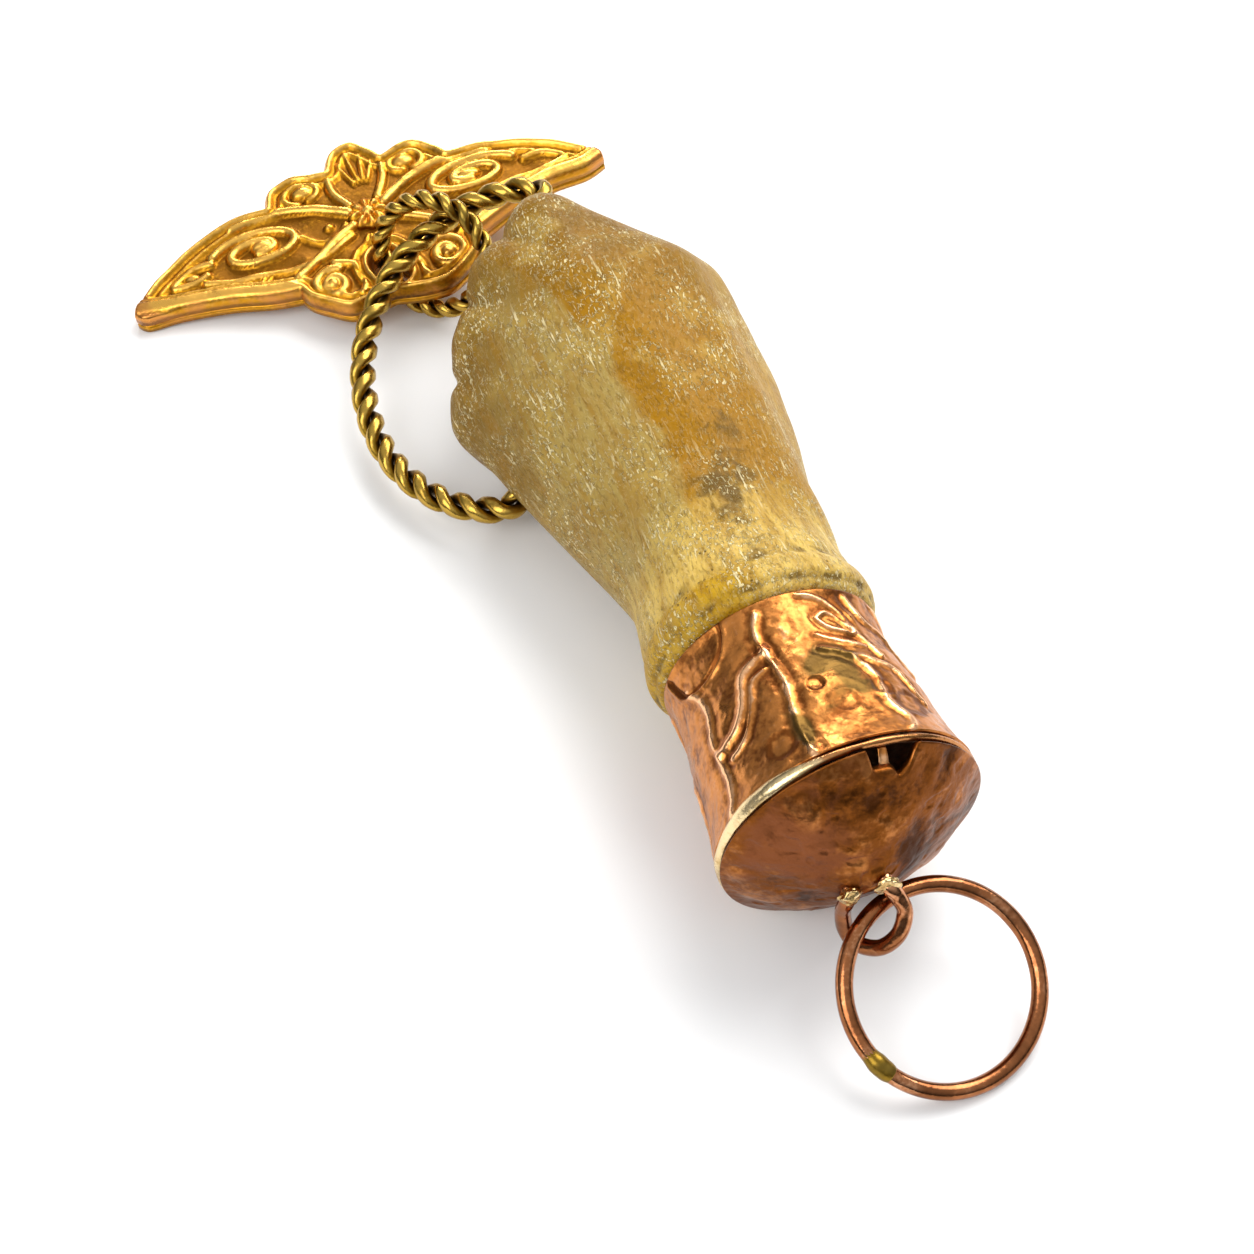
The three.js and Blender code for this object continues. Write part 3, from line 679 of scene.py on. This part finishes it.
def cap_flap():
    """A torn tongue of the cap's sheet, bent in behind the notch."""
    path = spline([(4.9, 0.75), (5.35, 0.55), (5.8, 0.15), (6.1, -0.25)], 8)
    rings = []
    for i, (radius, below) in enumerate(path):
        half = 0.36 - 0.006 * i
        turn = np.linspace(0, 2 * math.pi, 20, endpoint=False)
        across = half * np.cos(turn)
        thick = 0.09 * np.sin(turn) + 0.06 * np.cos(3 * turn + i * 0.2)
        angle = NOTCH_ANGLE - 0.04
        sideways = np.array([math.cos(angle), 0, -math.sin(angle)])
        outward = np.array([math.sin(angle), 0, math.cos(angle)])
        centre = CUFF + radius * outward + np.array([0, -(CAP_START + below), 0])
        rings.append(centre + across[:, None] * sideways + thick[:, None] * np.array([0, -1, 0]))
    rings = np.array(rings)
    make_rings("end_cap_flap", rings, "hand", COPPER, [], 0.6 + 0.3 * noise(rings, 0.5, 58), 0.2)


cuff_sleeve()
rim_band()
end_cap()
cap_flap()

# ---------------------------------------------------------------- eyelet and jump ring

EYELET_POINTS = [
    (8.0, -24.6, 6.6), (7.42, -26.66, 6.4), (7.24, -26.75, 4.9), (7.4, -27.0, 3.5), (7.78, -27.67, 3.0),
    (8.5, -28.5, 3.65), (9.3, -28.6, 4.6), (9.75, -28.1, 5.6), (9.55, -27.6, 6.3), (9.15, -26.9, 6.9),
    (9.2, -24.6, 7.0),
]
JUMP_RING_CENTRE = np.array([10.7, -31.0, 2.75])
JUMP_RING_NORMAL = unit([0.06, -0.46, 0.88])
JUMP_RING_RADIUS = 4.84
JUMP_RING_JOINT = math.radians(338)


def round_wire(name, path, radius, body, look, node, seed):
    rings = tube(path, radius) + SHIFT
    high = 0.55 + 0.25 * noise(rings, 1.4, seed)
    tint = 0.4 + 0.3 * noise(rings, 2.0, seed + 1)
    make_rings(name, rings, body, look, [node], high, tint)


def eyelet():
    path = spline(EYELET_POINTS, 16)
    radius = 0.4 + 0.015 * noise(path, 1.0, 61)
    round_wire("eyelet_wire", path, radius, "hand", ROSE_GOLD, "eyelet", 62)


def ring_path(start, end, count):
    across = unit(np.cross(JUMP_RING_NORMAL, [0, 0, 1]))
    up = np.cross(across, JUMP_RING_NORMAL)
    angle = np.linspace(start, end, count)[:, None]
    return JUMP_RING_CENTRE + JUMP_RING_RADIUS * (np.cos(angle) * across + np.sin(angle) * up)


def jump_ring():
    half = math.radians(7)
    path = ring_path(JUMP_RING_JOINT + half - 0.02, JUMP_RING_JOINT + 2 * math.pi - half + 0.02, 300)
    radius = 0.42 + 0.012 * noise(path, 1.3, 63)
    round_wire("jump_ring_wire", path, radius, "jump_ring", ROSE_GOLD, "jump_ring", 64)
    reach = math.radians(11)
    path = ring_path(JUMP_RING_JOINT - reach, JUMP_RING_JOINT + reach, 60)
    along = np.linspace(-1, 1, 60)
    radius = 0.40 + 0.13 * (1 - along ** 2) ** 0.5 * step(1.4, -0.8, along) + 0.03 * noise(path, 0.4, 65)
    round_wire("jump_ring_solder_skin", path, radius, "jump_ring", BRASS,
               "jump_ring_solder", 66)


def solder_bead(name, node, seed):
    """A small star of solder, melted round a leg of the eyelet."""
    low, high = (np.array(corner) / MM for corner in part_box(node))
    work = bmesh.new()
    bmesh.ops.create_icosphere(work, subdivisions=5, radius=1.0)
    points = np.array([vertex.co[:] for vertex in work.verts])
    faces = [[vertex.index for vertex in face.verts] for face in work.faces]
    work.free()
    size = (high - low) / 2 * [1.05, 0.9, 0.95]
    spread = 1 + 0.30 * noise(points, 0.7, seed) + 0.10 * noise(points, 0.3, seed + 1)
    vertices = (low + high) / 2 + points * size * spread[:, None]
    marks = {"high": 0.6 + 0.3 * noise(points, 0.5, seed), "tint": 0.3 + 0.3 * noise(points, 0.8, seed + 2)}
    make(name, vertices, faces, "hand", PALE_GOLD, [node], marks)


eyelet()
jump_ring()
solder_bead("eyelet_bead_left", "eyelet_solder_left", 71)
solder_bead("eyelet_bead_right", "eyelet_solder_right", 75)

# ---------------------------------------------------------------- rope ring and link ring

ROPE_SIDE = np.array([-0.882, 0.43, -0.195])
ROPE_SIDE = unit(ROPE_SIDE - (ROPE_SIDE @ GRIP_ALONG) * GRIP_ALONG)
ROPE = {"wire": 0.74, "lay": 0.41, "pitch": 3.2}
LINK_CENTRE = np.array([2.17, 21.73, 4.0])
LINK_NORMAL = unit([0.62, 0.69, -0.38])
LINK = {"wire": 0.58, "lay": 0.32, "pitch": 2.3}
LINK_RADIUS = 3.31
ROPE_LENGTH, ROPE_REACH, ROPE_BEND, SOLDER_GAP = 20.6, 9.85, 0.95, 0.8


def arc(centre, radii, start, end, count):
    angle = np.linspace(math.radians(start), math.radians(end), count)
    return np.stack([centre[0] + radii[0] * np.cos(angle), centre[1] + radii[1] * np.sin(angle)], -1)


def evenly(path, spacing):
    """The same flat line with even steps."""
    run = np.concatenate([[0], np.cumsum(np.linalg.norm(np.diff(path, axis=0), axis=1))])
    at = np.linspace(0, run[-1], int(run[-1] / spacing))
    return np.stack([np.interp(at, run, path[:, i]) for i in range(2)], -1), run[-1]


def rope_path():
    half, bend = ROPE_LENGTH / 2, ROPE_BEND
    return np.vstack([
        [(half + SOLDER_GAP, 0)],
        arc((ROPE_LENGTH - bend, bend), (bend, bend), -90, 0, 16),
        arc((half, bend), (half, ROPE_REACH - bend), 0, 180, 240)[1:],
        arc((bend, bend), (bend, bend), 180, 270, 16)[1:],
        [(half - SOLDER_GAP, 0)],
    ])


def twisted(names, nodes, path, origin, along, side, rope, body, look):
    """Two wires laid round a flat path, burnished on the outside of the rope and dark between the wires."""
    path, length = evenly(path, 0.09)
    tangents = np.gradient(path, axis=0)
    tangents /= np.linalg.norm(tangents, axis=1)[:, None]
    turns = round(length / rope["pitch"])
    normal = np.cross(along, side)
    centre = origin + path[:, :1] * along + path[:, 1:] * side
    inward = -tangents[:, 1:] * along + tangents[:, :1] * side
    for name, node, phase in zip(names, nodes, (0, math.pi)):
        angle = (2 * math.pi * turns * np.linspace(0, 1, len(path)) + phase)[:, None]
        wire = centre + rope["lay"] * (np.cos(angle) * inward + np.sin(angle) * normal)
        radius = rope["wire"] / 2 * (1 + 0.05 * noise(wire, 1.2, 81)) * 1.04
        rings = tube(wire, radius, 18)
        out = np.linalg.norm(rings - centre[:, None], axis=-1)
        most = rope["lay"] + rope["wire"] / 2
        flat_out = np.minimum(out, 0.955 * most)
        rings = centre[:, None] + (rings - centre[:, None]) * (flat_out / out)[..., None]
        high = step(0.38, 0.98, out / most) + 0.15 * noise(rings, 0.8, 82)
        tint = 0.25 + 0.3 * noise(rings, 2.4, 83)
        make_rings(name, rings + SHIFT, body, look, [node], high, tint)


twisted(("rope_strand_a", "rope_strand_b"), ("rope_wire_a", "rope_wire_b"), rope_path(), GRIP_START,
        GRIP_ALONG, ROPE_SIDE, ROPE, "rope_ring", BRASS)
link_across = unit(np.cross(LINK_NORMAL, [0, 0, 1]))
link_up = np.cross(LINK_NORMAL, link_across)
link_path = arc((0, 0), (LINK_RADIUS, LINK_RADIUS), 20, 380 - math.degrees(0.16), 300)
twisted(("link_strand_a", "link_strand_b"), ("link_wire_a", "link_wire_b"), link_path, LINK_CENTRE,
        link_across, link_up, LINK, "link_ring", BRASS)


def link_bump():
    """The fused ends of the link's wires."""
    middle = math.radians(20) - 0.08
    angle = np.linspace(middle - 0.17, middle + 0.17, 24)[:, None]
    path = LINK_CENTRE + LINK_RADIUS * (np.cos(angle) * link_across + np.sin(angle) * link_up)
    along = np.linspace(-1, 1, 24)
    radius = 0.12 + 0.56 * (1 - along ** 4) ** 0.5
    rings = tube(path, radius, 18) + SHIFT
    high = 0.85 + 0.1 * noise(rings, 0.5, 85)
    make_rings("link_joint", rings, "link_ring", BRASS, ["link_solder"], high, 0.1)


link_bump()

# ---------------------------------------------------------------- stamped ornament

ORNAMENT_CENTRE = np.array([-0.07, 27.55, 2.1])
ORNAMENT_TILT = math.radians(-6)
ORNAMENT_TURN = np.array([[math.cos(ORNAMENT_TILT), 0, math.sin(ORNAMENT_TILT)], [0, 1, 0],
                          [-math.sin(ORNAMENT_TILT), 0, math.cos(ORNAMENT_TILT)]])
GRAIN = 0.085  # spacing of the ornament's relief
BACK_THICKNESS = 0.5
OUTLINE_EDGES = [
    [(-14.6, -1.0), (-13.25, 0.3), (-10.7, 2.0), (-7.9, 3.1), (-5.7, 3.1)],
    [(-5.2, 4.3), (-3.7, 4.9), (-2.4, 4.6), (-1.6, 4.5)],
    [(-0.9, 5.8), (0.6, 6.2), (1.6, 5.2), (2.1, 4.4)],
    [(3.5, 4.8), (4.5, 4.55), (5.5, 3.5), (5.9, 2.9)],
    [(8.05, 2.7), (10.6, 1.8), (12.5, 0.7), (14.2, -0.9), (14.35, -1.6)],
    [(13.0, -2.1), (10.7, -2.2), (8.0, -3.1), (5.4, -4.3)],
    [(5.2, -5.6), (3.2, -7.1), (1.6, -7.2), (-0.4, -6.65)],
    [(-1.9, -6.8), (-3.1, -6.85), (-4.2, -6.0), (-5.1, -5.1), (-5.5, -4.3)],
    [(-7.3, -3.9), (-9.6, -3.1), (-12.5, -2.5), (-14.4, -2.4), (-15.0, -1.8)],
]
LEFT_BAND = [(-15.0, -1.9), (-12.5, -2.5), (-9.6, -3.1), (-7.3, -3.9), (-5.5, -4.3)]
RIGHT_BAND = [(14.35, -1.6), (13.0, -2.1), (10.7, -2.2), (8.0, -3.1), (5.4, -4.3)]


def curl(centre, radius, start, turns, tighten=0.25, squash=1.0):
    """A spiral line that winds inward."""
    t = np.linspace(0, 1, 40)
    angle = math.radians(start) + 2 * math.pi * turns * t
    size = radius * (1 - (1 - tighten) * t)
    return np.stack([centre[0] + size * np.cos(angle), centre[1] + squash * size * np.sin(angle)], -1)


def fan(centre, first, last, count, near, far):
    """Straight ribs that spread from a point."""
    lines = []
    for degrees in np.linspace(first, last, count):
        way = np.array([math.cos(math.radians(degrees)), math.sin(math.radians(degrees))])
        lines.append(np.array([centre + near * way, centre + far * way]))
    return lines


# Raised lines of the stamping: half width, height, line.
STROKES = [
    (0.30, 0.40, curl((-6.9, 0.0), 2.9, 160, -1.7, 0.22, 0.5)),
    (0.26, 0.32, spline([(-9.8, 0.1), (-11.0, 0.1), (-12.3, -0.8), (-11.2, -1.0), (-10.2, -0.7)])),
    (0.34, 0.46, spline([(-1.1, 0.5), (-2.6, 1.5), (-4.4, 2.2), (-6.2, 2.45), (-8.0, 2.2)])),
    (0.34, 0.46, spline([(1.1, 0.5), (2.6, 1.5), (4.4, 2.15), (6.2, 2.3), (8.0, 2.0)])),
    (0.30, 0.40, spline([(-1.1, -0.6), (-2.6, -1.4), (-3.9, -2.4), (-5.2, -3.2)])),
    (0.30, 0.40, spline([(1.1, -0.6), (2.6, -1.5), (3.9, -2.5), (5.0, -3.3)])),
    (0.26, 0.32, spline([(-10.4, -1.35), (-8.6, -1.95), (-7.0, -2.15), (-5.2, -2.5), (-3.4, -2.3),
                         (-1.4, -1.3)])),
    (0.22, 0.26, spline([(-4.2, -0.2), (-3.2, -1.1), (-2.1, -0.9), (-1.5, -0.3)])),
    (0.30, 0.40, curl((6.5, 0.35), 3.0, 20, 1.7, 0.22, 0.45)),
    (0.26, 0.30, spline([(9.9, 0.3), (11.1, 0.3), (12.2, -0.6), (10.6, -1.1), (8.6, -1.2), (6.0, -1.9),
                         (3.2, -2.4)])),
    (0.24, 0.30, curl((-3.3, 3.25), 1.15, 250, -0.9, 0.8, 0.75)),
    (0.24, 0.30, curl((3.2, 3.2), 1.15, -70, 0.9, 0.8, 0.75)),
    (0.28, 0.34, spline([(-0.9, 1.1), (-1.5, 2.4), (-1.5, 3.9), (-1.2, 4.6)])),
    (0.28, 0.34, spline([(0.9, 1.1), (1.6, 2.4), (1.9, 3.7), (2.0, 4.3)])),
    (0.30, 0.36, curl((-3.5, -4.6), 1.25, 60, 1.3, 0.3)),
    (0.30, 0.36, curl((3.4, -5.0), 1.3, 120, -1.3, 0.3)),
    (0.26, 0.34, spline([(-3.0, -3.0), (-1.9, -3.6), (-1.5, -4.8), (-2.0, -5.9)])),
    (0.26, 0.34, spline([(2.9, -3.1), (1.9, -3.8), (1.5, -5.0), (1.9, -6.2)])),
]
STROKES += [(0.16, 0.26, line) for line in fan(np.array([0.25, 1.6]), 66, 108, 4, 1.2, 3.9)]
STROKES += [(0.15, 0.24, line) for line in fan(np.array([-0.2, -1.2]), 238, 300, 4, 0.6, 2.2)]
STROKES += [(0.15, 0.24, line) for line in fan(np.array([-7.6, -3.2]), 18, 60, 3, 0.4, 1.1)]
# Round bosses: (x, y), (half width across X, across Y), height.
BOSSES = [
    ((-6.6, 0.1), (0.75, 0.4), 0.50), ((-3.25, 3.3), (0.75, 0.52), 0.44), ((3.1, 3.2), (0.75, 0.52), 0.44),
    ((-3.5, -4.6), (0.42, 0.42), 0.44), ((3.4, -5.0), (0.42, 0.42), 0.44), ((6.4, 0.4), (0.8, 0.34), 0.46),
    ((-11.1, -0.55), (0.5, 0.28), 0.34), ((0.0, -5.9), (0.5, 0.6), 0.36), ((-2.5, -0.1), (0.35, 0.3), 0.3),
]


def outline():
    line = [np.array([[-15.0, -1.8]])]
    for edge in OUTLINE_EDGES:
        line.append(spline([line[-1][-1], *edge], 8)[1:])
    return np.vstack(line)


def link_hole():
    """The slanting way that the link takes through the sheets: a flat line in the ornament's plane."""
    angle = np.linspace(0, 2 * math.pi, 720)[:, None]
    loop = LINK_CENTRE + LINK_RADIUS * (np.cos(angle) * link_across + np.sin(angle) * link_up)
    local = (loop - ORNAMENT_CENTRE) @ ORNAMENT_TURN
    within = (local[:, 2] > -BACK_THICKNESS - 0.2) & (local[:, 2] < 1.2) & (local[:, 1] > -6.3)
    return local[within][:, :2][::6]


def placed(local):
    """Points of the ornament, taken from its own plane to the row frame."""
    return local @ ORNAMENT_TURN.T + ORNAMENT_CENTRE + SHIFT


def relief(x, y, edge):
    """Height of the stamping over its bed and how far each point is worn bright."""
    bed = 0.46 + 0.05 * noise(np.stack([x, y, 0 * x], -1), 1.1, 91)
    height = bed + 0.40 * hump(edge, 0.34, 0.26)
    height = height + 0.26 * hump(edge, 1.02, 0.2)
    for band in (LEFT_BAND, RIGHT_BAND):
        away = distance_to(spline(band, 6), x, y)
        wing = step(4.6, 5.8, np.abs(x))
        round_band = 0.50 + 0.36 * np.sqrt(np.clip(1 - ((away - 0.62) / 0.66) ** 2, 0, 1))
        seam = 0.14 * hump(away, 0.95, 0.07)
        height = np.where(away < 1.28, height * (1 - wing) + (round_band - seam) * wing, height)
    inner = step(0.5, 0.9, edge)
    for half, tall, line in STROKES:
        away = distance_to(line, x, y) / half
        rounded = np.sqrt(np.clip(1 - away ** 2 * 0.8, 0, 1)) * (away < 1.1)
        height = np.maximum(height, bed + inner * tall * rounded)
    for (cx, cy), (rx, ry), tall in BOSSES:
        away = np.hypot((x - cx) / rx, (y - cy) / ry)
        height = np.maximum(height, bed + tall * np.sqrt(np.clip(1 - away ** 2, 0, 1)))
    high = np.clip((height - 0.42) / 0.40, 0, 1)
    height = height + 0.10 * (1 - (np.abs(x) / 15) ** 2)
    return height, high


def pressed_sheet(name, node, bottom, top_of, look_marks):
    """A sheet cut to the ornament's outline, its top raised by top_of(x, y, distance in from the edge)."""
    line = outline()
    low, high = line.min(0) - 2 * GRAIN, line.max(0) + 2 * GRAIN
    axes = [np.arange(a, b, GRAIN) for a, b in zip(low, high)]
    x, y = np.meshgrid(*axes, indexing="ij")
    signed = distance_to(line, x, y) * np.where(inside_of(line, x, y), -1, 1)
    signed = np.maximum(signed, 0.72 - distance_to(link_hole(), x, y))
    slope_x, slope_y = np.gradient(signed, GRAIN)
    steep = np.maximum(np.hypot(slope_x, slope_y), 1e-6)
    outside = signed > 0
    x = x - np.where(outside, signed * slope_x / steep, 0)
    y = y - np.where(outside, signed * slope_y / steep, 0)
    ins = ~outside
    cell = ins[:-1, :-1] | ins[1:, :-1] | ins[1:, 1:] | ins[:-1, 1:]
    ids = np.arange(x.size).reshape(x.shape)
    quads = np.stack([ids[:-1, :-1], ids[1:, :-1], ids[1:, 1:], ids[:-1, 1:]], -1)[cell]
    used, quads = np.unique(quads, return_inverse=True)
    quads = quads.reshape(-1, 4)
    px, py, inset = x.ravel()[used], y.ravel()[used], np.maximum(-signed.ravel()[used], 0)
    top, high_mark = top_of(px, py, inset)
    lip = np.sqrt(np.clip(1 - (1 - np.clip(inset / 0.26, 0, 1)) ** 2, 0, 1))
    top = bottom + (top - bottom) * (0.6 + 0.4 * lip)
    count = len(used)
    sides = np.concatenate([quads[:, [i, (i + 1) % 4]] for i in range(4)])
    directed = dict.fromkeys(map(tuple, sides.tolist()))
    rim = [(a, b) for a, b in directed if (b, a) not in directed]
    walls = [[b, a, a + count, b + count] for a, b in rim]
    faces = quads.tolist() + (quads[:, ::-1] + count).tolist() + walls
    local = np.vstack([np.stack([px, py, top], -1), np.stack([px, py, np.full(count, bottom)], -1)])
    marks = look_marks(px, inset, high_mark)
    marks = {mark: np.concatenate([values, values]) for mark, values in marks.items()}
    make(name, placed(local), faces, "ornament", GILT, [node], marks)


def front_marks(x, inset, high):
    rose = 0.45 * step(0.4, 0.1, inset) + 0.8 * step(12.8, 14.6, np.abs(x))
    return {"high": high, "tint": rose}


def back_marks(x, inset, high):
    return {"high": np.full_like(x, 0.6), "tint": np.full_like(x, 0.4)}


def flat_back(x, y, edge):
    return np.full_like(x, -0.05), np.zeros_like(x)


pressed_sheet("ornament_relief", "ornament_front", 0.0, relief, front_marks)
pressed_sheet("ornament_back_sheet", "ornament_back", -BACK_THICKNESS, flat_back, back_marks)


def rosette():
    """A small eight-petalled rosette with a raised eye."""
    around, rings_count = 160, 36
    angle = np.linspace(0, 2 * math.pi, around, endpoint=False)
    share = np.linspace(0.02, 1, rings_count)[:, None]
    petals = 0.5 + 0.5 * np.cos(8 * angle)
    radius = (1.12 + 0.16 * petals) * share
    arch = np.sin(math.pi * np.clip(share * 1.1 - 0.1, 0, 1)) * step(0.28, 0.42, share)
    height = 0.16 + 0.26 * petals * arch
    height = height + 0.36 * np.sqrt(np.clip(1 - (share / 0.34) ** 2, 0, 1))
    height = height * np.sqrt(np.clip(1 - share ** 8, 0.02, 1))
    base = 0.66
    top = np.stack([radius * np.cos(angle), radius * np.sin(angle), base + height], -1)
    foot = np.stack([radius[-1] * np.cos(angle), radius[-1] * np.sin(angle), 0 * angle + 0.4], -1)
    rings = np.concatenate([top, foot[None]])
    high = np.vstack([np.clip(height * 2.6, 0, 1), np.zeros((1, around))])
    make_rings("rosette", placed(rings), "ornament", GILT, ["rosette_boss"], high, 0.35)


rosette()

# ---------------------------------------------------------------- CAD pieces that stay

for node, look in (("pitch_filling", PITCH), ("rope_solder", SOLDERED_BRASS)):
    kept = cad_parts[node]
    kept.data.materials.clear()
    kept.data.materials.append(look)

# ---------------------------------------------------------------- floor, light and camera

CAMERA_AT = np.array([-21.64, -74.34, 103.77])
CAMERA_AZIMUTH, CAMERA_ELEVATION = math.radians(-20), math.radians(54)
CAMERA_LENS, SENSOR = 68.9, 36.0


def floor():
    mesh = bpy.data.meshes.new("floor")
    half = 3.0
    corners = [(-half, -half, 0), (half, -half, 0), (half, half, 0), (-half, half, 0)]
    mesh.from_pydata(corners, [], [(0, 1, 2, 3)])
    look = Look("floor", Roughness=0.9)
    look.to_shader("Base Color", look.mix(look.noise(40.0, 2), (0.90, 0.90, 0.89), (0.92, 0.92, 0.915)))
    mesh.materials.append(look.material)
    piece = bpy.data.objects.new("floor", mesh)
    piece.location.z = -0.00002
    bpy.context.scene.collection.objects.link(piece)


def sky():
    """Pale overhead, darker towards the horizon, so that the metal has something to mirror."""
    world = bpy.data.worlds.new("studio")
    world.use_nodes = True
    bpy.context.scene.world = world
    nodes, links = world.node_tree.nodes, world.node_tree.links
    coordinates = nodes.new("ShaderNodeTexCoord")
    split = nodes.new("ShaderNodeSeparateXYZ")
    ramp = nodes.new("ShaderNodeValToRGB")
    ramp.color_ramp.elements[0].position = 0.15
    ramp.color_ramp.elements[0].color = (0.05, 0.05, 0.05, 1)
    ramp.color_ramp.elements[1].position = 0.75
    ramp.color_ramp.elements[1].color = (0.70, 0.71, 0.73, 1)
    links.new(coordinates.outputs["Generated"], split.inputs[0])
    links.new(split.outputs["Z"], ramp.inputs["Fac"])
    links.new(ramp.outputs["Color"], nodes["Background"].inputs["Color"])


def lamp(name, direction, size, energy, distance=0.35, tint=(1, 1, 1)):
    """A square softbox that looks at the charm from that direction."""
    data = bpy.data.lights.new(name, "AREA")
    data.size = size
    data.energy = energy
    data.color = tint
    lamp_object = bpy.data.objects.new(name, data)
    back = unit(direction)
    side = unit(np.cross([0, 0, 1], back))
    up = np.cross(back, side)
    matrix = Matrix.Identity(4)
    for i, column in enumerate((side, up, back, back * distance)):
        for row in range(3):
            matrix[row][i] = column[row]
    lamp_object.matrix_world = matrix
    bpy.context.scene.collection.objects.link(lamp_object)


def camera():
    data = bpy.data.cameras.new("camera")
    data.lens = CAMERA_LENS
    data.sensor_width = SENSOR
    data.clip_start = 0.005
    camera_object = bpy.data.objects.new("camera", data)
    a, e = CAMERA_AZIMUTH, CAMERA_ELEVATION
    back = np.array([math.sin(a) * math.cos(e), -math.cos(a) * math.cos(e), math.sin(e)])
    right = np.array([math.cos(a), math.sin(a), 0])
    matrix = Matrix.Identity(4)
    for i, column in enumerate((right, np.cross(back, right), back, CAMERA_AT * MM)):
        for row in range(3):
            matrix[row][i] = column[row]
    camera_object.matrix_world = matrix
    bpy.context.scene.collection.objects.link(camera_object)
    bpy.context.scene.camera = camera_object


floor()
sky()
lamp("key", (0.75, 0.45, 1.0), 0.26, 1.2)
lamp("fill", (-0.8, -0.5, 0.9), 0.24, 0.6)
lamp("strip", (0.2, 1.0, 0.55), 0.08, 0.35)
camera()
bpy.context.scene.view_settings.view_transform = "Standard"
